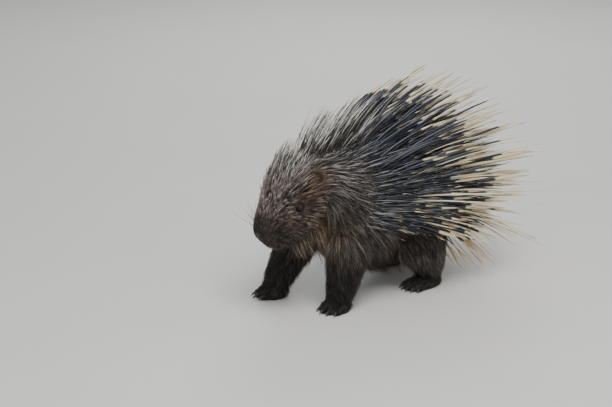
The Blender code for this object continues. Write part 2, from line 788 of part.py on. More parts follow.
def lips():
    """A low rim over and under the line of the mouth."""
    made = []
    for side in (-1, 1):
        slab = jaw_slab(MOUTH_DROP + side * (LIP_HEIGHT + MOUTH_GAP * 0.5) / 2, LIP_HEIGHT)
        made.append(join(slab, [head_core("flesh", LIP_SWELL * CM)], "INTERSECT"))
    return made


def make_head(room):
    """The head with its lids, nostrils, mouth and the bristles of crown and cheeks."""
    head = head_core("head")
    lids, cuts = [], [mouth_groove()]
    for side in (LEFT, RIGHT):
        centre, normal = eye_place(side)
        bpy.ops.mesh.primitive_torus_add(
            major_segments=14, minor_segments=5, major_radius=0.0062, minor_radius=0.0019
        )
        lid = bpy.context.object
        lid.data.transform(Matrix.Diagonal((1.2, 0.82, 1.0, 1.0)))
        lid.data.transform(normal.to_track_quat("Z", "Y").to_matrix().to_4x4())
        lid.data.transform(Matrix.Translation(centre + normal * 0.0034))
        lids.append(lid)
        cuts.append(ball("socket", centre, ((EYE_RADIUS * CM + GAP * 1.3),) * 3, segments=14))
        place, left, up, ahead = head_axes(0.5)
        turn = Matrix((left, ahead, up)).transposed() @ Matrix.Rotation(math.radians(26 * side), 3, "Y")
        centre = place + left * side * 0.0085 + up * 0.0115 + ahead * 0.002
        cuts.append(ball("nostril", centre, Vector(NOSTRIL) * CM, turn, 8))
    join(head, lids + lips())
    join(head, cuts, "DIFFERENCE")
    pieces = coat(head_point, HEAD_COAT, 1, HEAD_CLIMB, room)
    pieces += crest(head_point, 9.6, 13.2, 0.85, 1.9, 72, CROWN_LENGTH, room)
    return keep_largest(join(head, pieces))


def make_neck(room):
    neck = loft("neck", neck_rings(), split=True)
    pieces = crest(trunk_point, SHOULDER + 0.25, NAPE - 0.2, 0.75, CREST_SPACING, 62, CREST_LENGTH, room)
    pieces += coat(trunk_point, NECK_COAT, -1, BODY_CLIMB, room)
    return keep_largest(join(neck, pieces))


def make_torso(room):
    torso = loft("torso", torso_rings(), split=True)
    pieces = [
        quill(t, angle, room)
        for t, angle in roots(trunk_point, 0.5, QUILL_FRONT, -2.0, 2.0, QUILL_SPACING * CM)
    ]
    for t, angle in roots(trunk_point, 0.5, 2.3, 2.0, 2.6, QUILL_SPACING * CM):
        pieces += [quill(t, angle * side, room) for side in (LEFT, RIGHT)]
    pieces += crest(trunk_point, QUILL_FRONT + 0.1, SHOULDER - 0.25, 0.7, CREST_SPACING, 52, CREST_LENGTH, room)
    pieces += coat(trunk_point, TORSO_COAT, -1, BODY_CLIMB, room)
    return keep_largest(join(torso, [piece for piece in pieces if piece]))


def paint():
    """One material for each kind of node."""
    for kind, (colour, roughness) in LOOKS.items():
        material = bpy.data.materials.new(kind)
        material.use_nodes = True
        shader = material.node_tree.nodes["Principled BSDF"]
        shader.inputs["Base Color"].default_value = (*colour, 1.0)
        shader.inputs["Roughness"].default_value = roughness
        for obj in bpy.data.objects:
            if obj.name.startswith(kind):
                obj.data.materials.clear()
                obj.data.materials.append(material)


def gather(name):
    """Puts every object in one collection named for the animal."""
    home = bpy.data.collections.new(name)
    bpy.context.scene.collection.children.link(home)
    for obj in bpy.data.objects:
        for other in obj.users_collection:
            other.objects.unlink(obj)
        home.objects.link(obj)


def settle():
    """Moves the whole animal so that the origin is under the middle of its box."""
    points = [v.co for o in bpy.data.objects for v in o.data.vertices]
    low = Vector([min(p[i] for p in points) for i in range(3)])
    high = Vector([max(p[i] for p in points) for i in range(3)])
    shift = Vector((-(low.x + high.x) / 2, -(low.y + high.y) / 2, -low.z))
    for obj in bpy.data.objects:
        obj.data.transform(Matrix.Translation(shift))


def main():
    for obj in list(bpy.data.objects):
        bpy.data.objects.remove(obj)
    room = Room()
    for name in FEET:
        room.take(make_leg(name))
        room.take(make_foot(name))
        make_claws(name)
    room.take(make_tail())
    for side, end in ((LEFT, "left"), (RIGHT, "right")):
        room.take(make_eye(side, "eye_" + end))
        room.take(make_ear(side, "ear_" + end))
    room.take(make_torso(room))
    room.take(make_neck(room))
    make_head(room)
    settle()
    paint()
    gather("porcupine")


main()
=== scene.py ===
# %% [markdown]
# # A porcupine, life size, as a still model
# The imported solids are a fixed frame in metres: the animal faces -Y, its left side is +X, and it
# stands on z = 0. This script dresses that frame. One skin takes the place of the solids of flesh,
# and quills, bristles, fur, eyes, ears and claws are modelled on it, each finer than the solids'.

# %% Load the frame
import json
import math
from functools import partial

import bpy
import numpy as np
from mathutils import Matrix, Vector
from mathutils.bvhtree import BVHTree
from mathutils.kdtree import KDTree

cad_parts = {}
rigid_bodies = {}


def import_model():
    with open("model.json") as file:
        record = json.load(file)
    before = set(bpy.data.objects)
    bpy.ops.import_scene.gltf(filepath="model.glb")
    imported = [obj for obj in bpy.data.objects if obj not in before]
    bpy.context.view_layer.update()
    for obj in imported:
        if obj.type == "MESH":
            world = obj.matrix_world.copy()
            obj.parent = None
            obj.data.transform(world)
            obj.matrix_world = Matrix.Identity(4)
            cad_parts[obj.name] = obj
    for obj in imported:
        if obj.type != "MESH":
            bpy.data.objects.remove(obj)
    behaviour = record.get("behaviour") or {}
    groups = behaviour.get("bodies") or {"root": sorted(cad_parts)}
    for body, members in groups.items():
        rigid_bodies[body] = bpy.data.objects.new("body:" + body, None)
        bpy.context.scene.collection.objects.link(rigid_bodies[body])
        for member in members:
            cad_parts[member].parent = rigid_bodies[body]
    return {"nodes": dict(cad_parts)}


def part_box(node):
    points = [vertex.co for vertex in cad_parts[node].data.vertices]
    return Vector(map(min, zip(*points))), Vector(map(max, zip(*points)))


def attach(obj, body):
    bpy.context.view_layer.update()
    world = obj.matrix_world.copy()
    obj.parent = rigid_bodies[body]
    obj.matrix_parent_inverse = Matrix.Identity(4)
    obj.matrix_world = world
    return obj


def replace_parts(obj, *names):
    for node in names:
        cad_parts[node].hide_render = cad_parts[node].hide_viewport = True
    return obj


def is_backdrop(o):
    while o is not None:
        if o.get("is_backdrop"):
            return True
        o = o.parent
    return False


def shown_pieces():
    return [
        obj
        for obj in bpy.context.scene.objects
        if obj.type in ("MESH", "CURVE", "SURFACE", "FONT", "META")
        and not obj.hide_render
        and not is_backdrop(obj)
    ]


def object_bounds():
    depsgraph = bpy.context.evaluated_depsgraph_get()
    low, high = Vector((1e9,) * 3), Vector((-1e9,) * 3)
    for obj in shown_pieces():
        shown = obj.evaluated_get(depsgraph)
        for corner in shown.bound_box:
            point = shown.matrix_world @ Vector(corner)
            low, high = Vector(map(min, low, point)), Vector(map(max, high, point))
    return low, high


for leftover in list(bpy.data.objects):
    bpy.data.objects.remove(leftover)
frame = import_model()
solids_box = [list(corner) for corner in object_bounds()]
bpy.ops.object.select_all(action="DESELECT")
CM, MM = 0.01, 0.001
LEFT, RIGHT = 1, -1
draw = np.random.default_rng(23)
print(len(frame["nodes"]), "solids in the box", np.round(solids_box, 3).tolist())

# %% [markdown]
# ## The stations of the body
# An animal's body is a few bent tubes that run into each other. Each tube is a short table of
# cross-sections, in centimetres, and a smooth curve through its rows gives any section between
# them. The tables are the same as the solids', so that skin and solids agree.

# %% Stations of the trunk and head
# The trunk from the rump to the head's joint: y, z, tilt, half width, height and depth.
TRUNK = (
    (21.8, 14.6, -14, 0.8, 0.8, 0.8),
    (21.0, 14.9, -14, 3.2, 3.2, 3.4),
    (18.6, 15.7, -12, 5.9, 6.0, 6.2),
    (14.2, 17.0, -8, 8.2, 8.9, 8.3),
    (8.0, 18.4, -3, 9.5, 10.8, 9.9),
    (0.5, 19.3, 0, 9.8, 11.3, 10.4),
    (-4.5, 19.8, 0, 9.5, 11.0, 10.1),
    (-7.5, 20.2, 2, 9.0, 10.3, 9.6),
    (-10.6, 22.2, 16, 7.8, 8.2, 8.6),
    (-13.4, 24.8, 30, 5.9, 5.6, 5.6),
)
NAPE = len(TRUNK) - 1
# The head from its joint to the nose: distance from the nose tip, half width, height and depth.
HEAD = (
    (14.0, 5.9, 5.6, 5.6),
    (12.0, 5.8, 6.1, 6.5),
    (10.0, 5.4, 6.1, 6.8),
    (8.0, 4.9, 5.7, 6.6),
    (6.0, 4.3, 5.0, 6.0),
    (4.0, 3.8, 4.3, 5.2),
    (2.2, 3.4, 3.5, 4.5),
    (0.9, 2.9, 2.6, 3.7),
    (0.1, 1.6, 1.5, 2.3),
)
HEAD_LENGTH, HEAD_PITCH, HEAD_YAW = 14.0, 43.5, -7.0
EYE_STATION, EYE_ANGLE, EYE_RADIUS, EYE_SINK = 8.9, 80.0, 0.68, 0.36
EAR_STATION, EAR_ANGLE = 12.7, 57.0
print("the trunk is", 2 * max(row[3] for row in TRUNK), "cm wide")

# %% Stations of the legs and tail
# Legs from the body to the wrist or heel: x, y, z, half width, half depth.
FRONT_LEG = (
    (5.4, -6.6, 16.0, 2.6, 3.6),
    (6.2, -7.6, 12.0, 3.0, 3.9),
    (6.7, -8.9, 8.0, 2.6, 3.1),
    (6.7, -9.8, 5.0, 2.2, 2.4),
    (6.7, -10.4, 3.0, 2.0, 2.2),
)
REACHING_LEG = (
    (-5.4, -7.4, 16.0, 2.6, 3.6),
    (-6.2, -9.4, 12.0, 3.0, 3.9),
    (-6.8, -12.0, 8.0, 2.6, 3.1),
    (-7.0, -14.0, 5.0, 2.2, 2.4),
    (-7.1, -15.0, 3.0, 2.0, 2.2),
)
HIND_LEG = (
    (5.2, 12.0, 15.5, 3.2, 5.0),
    (6.9, 10.6, 11.5, 3.6, 5.2),
    (7.6, 10.6, 8.0, 3.3, 4.6),
    (7.4, 12.2, 5.2, 2.6, 3.2),
    (7.2, 13.4, 3.0, 2.1, 2.4),
)
HIND_STEP, STEP_SHARE = 4.2, (0.25, 0.5, 0.75, 0.95, 1.0)
STEPPING_LEG = tuple(
    (-x, y + HIND_STEP * step, z, w, d) for (x, y, z, w, d), step in zip(HIND_LEG, STEP_SHARE)
)
LEGS = {
    "front_left": FRONT_LEG,
    "front_right": REACHING_LEG,
    "hind_left": HIND_LEG,
    "hind_right": STEPPING_LEG,
}
# Feet: x and y of the ankle, turn outwards, sole ahead and behind, half width, number of toes.
FEET = {
    "front_left": (6.7, -10.4, 8.0, 3.2, 1.5, 2.3, 4),
    "front_right": (-7.1, -15.0, -28.0, 3.2, 1.5, 2.3, 4),
    "hind_left": (7.2, 13.4, 6.0, 5.6, 2.2, 2.4, 5),
    "hind_right": (-7.2, 13.4 + HIND_STEP, -8.0, 5.6, 2.2, 2.4, 5),
}
TOE_LENGTH, CLAW_LENGTH, SOLE_THICKNESS = 1.5, 1.3, 1.5
# The tail: y, z, half width, half height.
TAIL = (
    (18.0, 13.0, 2.4, 2.2), (21.5, 11.2, 2.2, 2.0), (24.0, 9.9, 1.7, 1.6), (26.0, 9.0, 1.1, 1.1),
)
print(len(LEGS), "legs with", [foot[-1] for foot in FEET.values()], "toes")


# %% Points between the stations
def rows_at(table, station):
    """The rows of a table at stations, on a smooth curve through the rows."""
    rows = np.asarray(table, float)
    station = np.atleast_1d(np.asarray(station, float))
    first = np.clip(np.floor(station).astype(int), 0, len(rows) - 2)
    u = (station - first)[:, None]
    longer = np.vstack([2 * rows[0] - rows[1], rows, 2 * rows[-1] - rows[-2]])
    p0, p1, p2, p3 = (longer[first + k] for k in range(4))
    m1, m2 = (p2 - p0) / 2, (p3 - p1) / 2
    return (
        (2 * u**3 - 3 * u**2 + 1) * p1
        + (u**3 - 2 * u**2 + u) * m1
        + (3 * u**2 - 2 * u**3) * p2
        + (u**3 - u**2) * m2
    )


def egg(centre, tilt, yaw, half_width, up, down, angle):
    """Points at angles, from the top and towards the left, on egg-shaped sections."""
    side = half_width * np.sin(angle)
    rise = np.where(np.cos(angle) > 0, up, down) * np.cos(angle)
    lean = -rise * np.sin(tilt)
    turned = [side * np.cos(yaw) - lean * np.sin(yaw), side * np.sin(yaw) + lean * np.cos(yaw)]
    return (centre + np.stack([*turned, rise * np.cos(tilt)], -1)) * CM + shift


def hill(x, middle, width):
    """A smooth bump that is 1 at the middle and falls off over the width."""
    return np.exp(-(((x - middle) / width) ** 2))


# %% Points of the trunk and head
def trunk(station, angle, grow=0.0):
    """Points of the trunk, in metres, at stations and at angles from the spine's line."""
    y, z, tilt, half_width, up, down = rows_at(TRUNK, station).T
    centre = np.stack([np.zeros_like(y), y, z], -1)
    return egg(centre, np.radians(tilt), 0.0, half_width + grow, up + grow, down + grow, angle)


NECK_BEND = 2.5  # the head has turned fully after 1 / 2.5 of its length


def head_axis(from_nose):
    """Centre, tilt and yaw of the head's sections."""
    from_nose = np.atleast_1d(np.asarray(from_nose, float))
    joint_y, joint_z, joint_tilt = TRUNK[NAPE][:3]
    pitch, yaw = math.radians(HEAD_PITCH), math.radians(HEAD_YAW)
    bend = np.minimum((1 - from_nose / HEAD_LENGTH) * NECK_BEND, 1.0)
    ahead = (HEAD_LENGTH - from_nose) * math.cos(pitch)
    centre = np.stack([
        ahead * np.sin(yaw * bend),
        joint_y - ahead * np.cos(yaw * bend),
        joint_z - (HEAD_LENGTH - from_nose) * math.sin(pitch),
    ], -1)
    return centre, np.radians(joint_tilt + (HEAD_PITCH - joint_tilt) * bend), yaw * bend


# Swellings of the face: height, distance from the nose and its width, degrees and their width.
FACE_SWELLS = (
    (0.35, 9.5, 2.2, 112, 24),  # cheeks
    (0.28, 9.7, 1.6, 42, 14),  # brows
    (-0.22, 8.4, 1.5, 66, 14),  # sockets
    (0.28, 2.0, 1.5, 95, 30),  # the swollen nose
)


def face_swell(from_nose, angle):
    """How far the swellings stand out from the head's plain sections."""
    degrees = np.abs(np.degrees(np.arctan2(np.sin(angle), np.cos(angle))))
    return sum(
        swell * hill(from_nose, middle, reach) * hill(degrees, turn, spread)
        for swell, middle, reach, turn, spread in FACE_SWELLS
    )


def head(from_nose, angle, grow=0.0):
    """Points of the head, at distances from the nose tip along its middle line."""
    from_nose = np.atleast_1d(np.asarray(from_nose, float))
    station = np.interp(-from_nose, [-row[0] for row in HEAD], range(len(HEAD)))
    _, half_width, up, down = rows_at(HEAD, station).T
    grow = grow + face_swell(from_nose, angle)
    return egg(*head_axis(from_nose), half_width + grow, up + grow, down + grow, angle)


# %% Points of the legs and tail
def leg(name, station, angle, grow=0.0):
    """Points of a leg, whose sections all lie level."""
    x, y, z, half_width, half_depth = rows_at(LEGS[name], station).T
    across, deep = (half_width + grow) * np.cos(angle), (half_depth + grow) * np.sin(angle)
    return np.stack([x + across, y + deep, z + 0 * across], -1) * CM + shift


TAIL_LEAN = math.radians(28)


def tail(station, angle, grow=0.0):
    """Points of the tail, which hangs back and down."""
    y, z, half_width, half_height = rows_at(TAIL, station).T
    rise = (half_height + grow) * np.cos(angle)
    lean = [y + rise * math.sin(TAIL_LEAN), z + rise * math.cos(TAIL_LEAN)]
    return np.stack([(half_width + grow) * np.sin(angle), *lean], -1) * CM + shift


def unit(vectors):
    """The same directions with a length of 1."""
    return vectors / np.maximum(np.linalg.norm(vectors, axis=-1, keepdims=True), 1e-9)


def frames_of(surface, station, angle, step=0.01):
    """Points on a surface, its outward normals, and its directions along and round it."""
    along = surface(station + step, angle) - surface(station - step, angle)
    round_it = surface(station, angle + step) - surface(station, angle - step)
    normal = unit(np.cross(round_it, along))
    middle = (surface(station, angle) + surface(station, angle + math.pi)) / 2
    inwards = np.sum(normal * (surface(station, angle) - middle), -1, keepdims=True) < 0
    return surface(station, angle), np.where(inwards, -normal, normal), unit(along), unit(round_it)


shift = np.zeros(3)
withers = trunk(np.array([6.0]), np.array([0.0]))[0]
print("withers, before the solids' own move:", np.round(withers, 3).tolist())


# %% [markdown]
# The solids were moved as a whole after they were made, so that the origin is under the middle of
# their box. The same move is found here from one round solid, the left eye.


# %% Line the tables up with the frame
def eye_place(side):
    """The middle of an eyeball, and the head's outward normal there."""
    angle = np.array([math.radians(EYE_ANGLE) * side])
    place, normal, _, _ = frames_of(head, np.array([EYE_STATION]), angle)
    return place[0] - normal[0] * EYE_SINK * CM, normal[0]


shift = np.mean([np.array(corner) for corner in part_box("eye_left")], 0) - eye_place(LEFT)[0]
print("the solids were moved by", np.round(shift, 5).tolist())

# %% [markdown]
# ## Camera
# The photograph looks down a little from the animal's left front. A long lens from four metres
# keeps its near and far legs almost the same size. The front left sole was used as the anchor:
# it is put where the photograph has it, and the rest follows.

# %% Camera
AZIMUTH, ELEVATION, DISTANCE, LENS, SENSOR = 50.0, 18.0, 4.0, 120.0, 36.0
NEAR, FAR = 0.1, 100.0
PHOTO_WIDTH, PHOTO_HEIGHT = 612, 407
ANCHOR, ANCHOR_PIXEL = (6.5, -11.0, 0.0), (336, 310)
anchor = np.array(ANCHOR) * CM + shift
az, el = math.radians(AZIMUTH), math.radians(ELEVATION)
back = np.array([math.sin(az) * math.cos(el), -math.cos(az) * math.cos(el), math.sin(el)])
right = np.array([math.cos(az), math.sin(az), 0.0])
up = np.cross(back, right)
pixel = DISTANCE * SENSOR / LENS / PHOTO_WIDTH  # metres that a pixel covers at the animal
place = anchor + back * DISTANCE
place = place - right * (ANCHOR_PIXEL[0] - PHOTO_WIDTH / 2) * pixel
place = place + up * (ANCHOR_PIXEL[1] - PHOTO_HEIGHT / 2) * pixel
bpy.ops.object.camera_add(location=place)
camera = bpy.context.object
camera.rotation_mode = "QUATERNION"
camera.rotation_quaternion = Vector(-back).to_track_quat("-Z", "Y")
camera.data.lens, camera.data.sensor_width = LENS, SENSOR
camera.data.clip_start, camera.data.clip_end = NEAR, FAR
bpy.context.scene.camera = camera
print("camera at", np.round(place, 3).tolist())

# %% [markdown]
# ## Finishes
# A material is a small drawing of what the surface does. To keep it readable, a number that
# varies over a surface is wrapped in a class, and Python's own signs then add the Math nodes.


# %% Numbers that vary over a surface
class Number:
    """A socket that gives a number or a colour. Python's signs on it add Math nodes."""

    def __init__(self, finish, socket):
        self.finish, self.socket = finish, socket

    def math(self, operation, first, second=0.0):
        return self.finish.node("ShaderNodeMath", {"operation": operation}, {0: first, 1: second})

    def __add__(self, other):
        return self.math("ADD", self, other)

    def __mul__(self, other):
        return self.math("MULTIPLY", self, other)

    def __sub__(self, other):
        return self.math("SUBTRACT", self, other)

    def __rsub__(self, other):
        return self.math("SUBTRACT", other, self)

    __radd__, __rmul__ = __add__, __mul__

    def between(self, low, high):
        """0 under low, 1 over high and a smooth rise between them."""
        settings = {"interpolation_type": "SMOOTHSTEP", "clamp": True}
        return self.finish.node("ShaderNodeMapRange", settings, {0: self, 1: low, 2: high})


# %% One class for every finish
class Finish:
    """A material whose nodes are added by one method, with constants on its shader's sockets."""

    def __init__(self, name, **constants):
        self.material = bpy.data.materials.new(name)
        self.material.use_nodes = True
        self.shader = self.material.node_tree.nodes["Principled BSDF"]
        for socket, value in constants.items():
            self.shader.inputs[socket.replace("_", " ")].default_value = value

    def node(self, kind, settings, values, output=0):
        made = self.material.node_tree.nodes.new(kind)
        for key, value in settings.items():
            setattr(made, key, value)
        for key, value in values.items():
            self.feed(made.inputs[key], value)
        return Number(self, made.outputs[output])

    def feed(self, socket, value):
        if isinstance(value, Number):
            self.material.node_tree.links.new(value.socket, socket)
        else:
            socket.default_value = value

    def attribute(self, name, output="Color"):
        return self.node("ShaderNodeAttribute", {"attribute_name": name}, {}, output)

    def noise(self, scale, detail=3.0, where=None):
        where = where or self.node("ShaderNodeTexCoord", {}, {}, "Object")
        values = {"Vector": where, "Scale": scale, "Detail": detail}
        return self.node("ShaderNodeTexNoise", {}, values)

    def stretched(self, where, scale):
        """The same coordinates, scaled by three factors."""
        return self.node("ShaderNodeMapping", {}, {"Vector": where, "Scale": scale})

    def strand_map(self):
        """The map of a strand: u goes round it, and v from its root to its tip."""
        where = self.node("ShaderNodeUVMap", {"uv_map": "strand"}, {})
        return where, self.node("ShaderNodeSeparateXYZ", {}, {0: where}, 1)

    def mix(self, share, first, second):
        colours = [c if isinstance(c, Number) else (*c, 1.0) for c in (first, second)]
        values = {0: share, 6: colours[0], 7: colours[1]}
        return self.node("ShaderNodeMix", {"data_type": "RGBA"}, values, 2)

    def show(self, colour, roughness, height=None, depth=0.0005, strength=0.5):
        """Feeds the shader a colour, a roughness and, where wanted, a height for bumps."""
        self.feed(self.shader.inputs["Base Color"], colour)
        self.feed(self.shader.inputs["Roughness"], roughness)
        if height is not None:
            values = {"Height": height, "Distance": depth, "Strength": strength}
            self.feed(self.shader.inputs["Normal"], self.node("ShaderNodeBump", {}, values))
        return self.material


print("numbers and finishes can be written as sums and products")

# %% [markdown]
# The quills are the animal's mark. Each is satin blue-black from the root up, where the black is
# the horn's own and the blue is a painted sky sheen; within a few millimetres it changes to cream,
# with an ochre stretch before a cream tip. Every quill has a number of its own, its tone, which
# moves the changes up or down so that no two are banded alike.


# %% Finish of the quills
# Horn colours: the horn's own black, with a painted blue sky sheen, strongest in the second.
BLUE_BLACK, SLATE_HORN_AND_SKY_SHEEN = (0.007, 0.009, 0.015), (0.028, 0.034, 0.056)
CREAM, IVORY = (0.66, 0.55, 0.32), (0.82, 0.77, 0.62)
OCHRE, WORN_TIP, BLACK = (0.46, 0.29, 0.09), (0.46, 0.34, 0.17), (0.0, 0.0, 0.0)
STREAKS, GROOVES, HAIR_STREAKS = (9.0, 3.0, 1.0), (22.0, 1.5, 1.0), (5.0, 6.0, 1.0)
BAND_EDGE = 0.035  # share of a quill over which black turns to cream
TAN_RISE, TAN_FALL = (0.03, 0.16), (0.2, 0.42)  # shares past the band where ochre comes and goes
TIP_WEAR, WEAR_STRENGTH = (0.93, 1.0), 0.5
QUILL_ROUGHNESS, CREAM_ROUGHER, GROOVE_DEPTH = 0.26, 0.12, 0.0002
HAIR_DARKER, HAIR_DARK_SHARE = (0.35, 0.8), 0.45
OTHER_NUMBER = 7.31  # the digits behind the point of tone times this vary apart from tone


def quill_finish(name, dark_to, dark_spread, ochre):
    """Horn that is dark up to a share of its length, with an ochre stretch and a cream tip."""
    finish = Finish(name, Specular_IOR_Level=0.55, Coat_Weight=0.15, Coat_Roughness=0.25)
    tone = finish.attribute("tone", "Fac")
    strand, along = finish.strand_map()
    streaks = finish.noise(1.0, 2.0, finish.stretched(strand, STREAKS))
    edge = tone * dark_spread + dark_to
    pale = (along + streaks * 0.02 - edge).between(0.0, BAND_EDGE)
    second = finish.node("ShaderNodeMath", {"operation": "FRACT"}, {0: tone * OTHER_NUMBER})
    past = along - edge
    tanned = past.between(*TAN_RISE) * (1 - past.between(*TAN_FALL))
    # The streaks mix black horn with a painted blue sky sheen.
    horn = finish.mix(streaks, BLUE_BLACK, SLATE_HORN_AND_SKY_SHEEN)
    cream = finish.mix(second, CREAM, IVORY)
    cream = finish.mix(tanned * second * ochre, cream, OCHRE)
    cream = finish.mix(along.between(*TIP_WEAR) * WEAR_STRENGTH, cream, WORN_TIP)
    grooves = finish.noise(1.0, 2.0, finish.stretched(strand, GROOVES))
    roughness = pale * CREAM_ROUGHER + streaks * 0.1 + QUILL_ROUGHNESS
    return finish.show(finish.mix(pale, horn, cream), roughness, grooves, GROOVE_DEPTH)


def hair_finish(name, roughness):
    """Bristles and fur: the colour of each is on its points, and fine streaks run along it."""
    finish = Finish(name, Specular_IOR_Level=0.4)
    strand, _ = finish.strand_map()
    streaks = finish.noise(1.0, 2.0, finish.stretched(strand, HAIR_STREAKS))
    share = streaks.between(*HAIR_DARKER) * HAIR_DARK_SHARE
    colour = finish.mix(share, finish.attribute("tint"), BLACK)
    return finish.show(colour, streaks * 0.2 + roughness)


quill_horn = quill_finish("Banded quill", 0.42, 0.52, 0.9)
pale_quill_horn = quill_finish("Pale quill", 0.04, 0.14, 0.6)
ochre_quill_horn = quill_finish("Ochre quill", 0.30, 0.30, 1.6)
bristle_finish = hair_finish("Bristle", 0.36)
fur_finish = hair_finish("Short fur", 0.5)
print("finishes of the coat:", [m.name for m in bpy.data.materials])

# %% [markdown]
# Hide, horn, ear and eye have their own finishes. The hide carries the coat's markings as an
# attribute, because the same colours are then given to every tuft that grows from it. Nose and
# lids are bare, damp and pebbled, so a second attribute lowers the roughness there.


# %% Finish of hide, horn and eye
PORE_BLACK, HORN_BLACK = (0.008, 0.006, 0.005), (0.014, 0.010, 0.008)
HORN_BROWN, HORN_TIP = (0.045, 0.032, 0.024), (0.12, 0.09, 0.065)
EAR_SHADE, EAR_BROWN = (0.034, 0.024, 0.019), (0.076, 0.052, 0.039)
EAR_SPECK, HORN_LINES = (0.02, 0.012, 0.01), (16.0, 2.0, 1.0)
IRIS_DARK, IRIS_BROWN = (0.007, 0.004, 0.003), (0.022, 0.012, 0.007)
PUPIL_BLACK, EYE_RIM = (0.002, 0.002, 0.002), (0.010, 0.006, 0.005)
DRY_HIDE, DAMPNESS, PORES, PORE_DEPTH = 0.72, 0.28, (0.35, 0.75), 0.0006  # dry: its roughness
WORN_HORN, HORN_ROUGHNESS, EAR_ROUGHNESS, EYE_ROUGHNESS = (0.6, 1.1), 0.3, 0.45, 0.3
PUPIL_EDGE, IRIS_EDGE = (0.0016, 0.0024), (0.0052, 0.0066)  # metres from the middle of the gaze


def hide_finish():
    """Skin: the markings, with dark pores, and damp where a second attribute says so."""
    finish = Finish("Hide", Specular_IOR_Level=0.4)
    damp = finish.attribute("damp", "Fac")
    fine, coarse = finish.noise(2600.0, 2.0), finish.noise(420.0, 4.0)
    colour = finish.mix(fine.between(*PORES) * 0.6, finish.attribute("tint"), PORE_BLACK)
    roughness = DRY_HIDE - damp * DAMPNESS + coarse * 0.1
    return finish.show(colour, roughness, fine + coarse, PORE_DEPTH, 0.6)


def horn_finish():
    """Claws: dark horn, paler and worn towards the tip, with fine growth lines along it."""
    finish = Finish("Claw horn", Specular_IOR_Level=0.5)
    strand, along = finish.strand_map()
    lines = finish.noise(1.0, 3.0, finish.stretched(strand, HORN_LINES))
    horn = finish.mix(lines, HORN_BLACK, HORN_BROWN)
    colour = finish.mix(along.between(*WORN_HORN) * 0.5, horn, HORN_TIP)
    return finish.show(colour, lines * 0.25 + HORN_ROUGHNESS, lines, 0.0003)


def ear_finish():
    """Thin brown skin that lets a little light through."""
    glow = {"Subsurface_Weight": 0.12, "Subsurface_Scale": 0.004}
    finish = Finish("Ear skin", Specular_IOR_Level=0.35, **glow)
    fine, coarse = finish.noise(1800.0, 3.0), finish.noise(160.0, 4.0)
    colour = finish.mix(coarse.between(0.3, 0.7), EAR_SHADE, EAR_BROWN)
    colour = finish.mix(fine.between(0.4, 0.8) * 0.4, colour, EAR_SPECK)
    return finish.show(colour, coarse * 0.25 + EAR_ROUGHNESS, fine + coarse * 0.6, strength=0.6)


def eye_finish(centre, gaze):
    """A dark brown iris round a black pupil, under a clear wet layer."""
    finish = Finish("Eye", Coat_Weight=0.35, Coat_Roughness=0.04, Specular_IOR_Level=0.2)
    where = finish.node("ShaderNodeTexCoord", {}, {}, "Object")
    front = centre + gaze * EYE_RADIUS * CM
    distance = {"operation": "DISTANCE"}
    away = finish.node("ShaderNodeVectorMath", distance, {0: where, 1: front}, "Value")
    fibres = finish.noise(900.0, 3.0, where)
    iris = finish.mix(fibres.between(0.3, 0.7), IRIS_DARK, IRIS_BROWN)
    colour = finish.mix(away.between(*PUPIL_EDGE), PUPIL_BLACK, iris)
    colour = finish.mix(away.between(*IRIS_EDGE), colour, EYE_RIM)
    return finish.show(colour, fibres * 0.06 + EYE_ROUGHNESS)


hide, claw_horn, ear_skin = hide_finish(), horn_finish(), ear_finish()
print("finishes so far:", [m.name for m in bpy.data.materials])

# %% [markdown]
# ## Floor and light
# A plain pale floor and large soft lights, as in a studio. The photograph's light comes from
# above, so the strongest lamp hangs high and a little to the front, and silvers the back.

# %% Floor and lights
FLOOR_DARK, FLOOR_LIGHT, FLOOR_RADIUS = (0.66, 0.645, 0.62), (0.72, 0.705, 0.68), 14.0
SKY, SKY_STRENGTH, ANIMAL_MIDDLE = (0.80, 0.82, 0.85, 1.0), 0.55, (0.0, 0.0, 0.15)
SOFTBOXES = (  # place, side in metres and watts
    ("key", (1.1, -0.6, 2.6), 1.6, 62.0),
    ("fill", (1.6, -2.6, 1.2), 2.0, 26.0),
    ("rim", (-1.8, 1.6, 1.6), 1.4, 26.0),
)


def floor_finish():
    """A dull pale floor that hardly mottles, so that nothing on it draws the eye."""
    finish = Finish("Pale floor", Specular_IOR_Level=0.3)
    mottle = finish.noise(3.0, 5.0)
    return finish.show(finish.mix(mottle, FLOOR_DARK, FLOOR_LIGHT), mottle * 0.1 + 0.6)


bpy.ops.mesh.primitive_circle_add(vertices=64, radius=FLOOR_RADIUS, fill_type="NGON")
floor = bpy.context.object
floor.name = "studio_floor"
floor.data.materials.append(floor_finish())
floor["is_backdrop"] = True


for name, place, size, power in SOFTBOXES:
    bpy.ops.object.light_add(type="AREA", location=place)
    lamp = bpy.context.object
    lamp.name, lamp.data.size, lamp.data.energy = name, size, power
    lamp.rotation_mode = "QUATERNION"
    lamp.rotation_quaternion = (Vector(ANIMAL_MIDDLE) - Vector(place)).to_track_quat("-Z", "Y")
world = bpy.data.worlds.new("studio")
bpy.context.scene.world = world
world.use_nodes = True
sky = world.node_tree.nodes["Background"].inputs
sky["Color"].default_value, sky["Strength"].default_value = SKY, SKY_STRENGTH
print("lamps:", [name for name, *_ in SOFTBOXES])

# %% [markdown]
# ## The skin
# Sculptors start from simple masses that overlap and then fuse them. Here each mass is a tube:
# circles are added as primitives, put on their sections, and bridged. Toes and pads are balls.
# A voxel remesh then melts all of it into one closed skin without seams. It lies a few
# millimetres inside the solids, by the depth of what grows on it.

# %% Helpers for objects
RING = 40
TURN = 2 * math.pi * np.arange(RING) / RING


def select_only(*objects):
    """Selects these objects alone, the first of them active."""
    bpy.ops.object.select_all(action="DESELECT")
    for obj in objects:
        obj.select_set(True)
    bpy.context.view_layer.objects.active = objects[0]


def smooth(obj):
    """Shades every face of an object smooth."""
    select_only(obj)
    bpy.ops.object.shade_smooth()


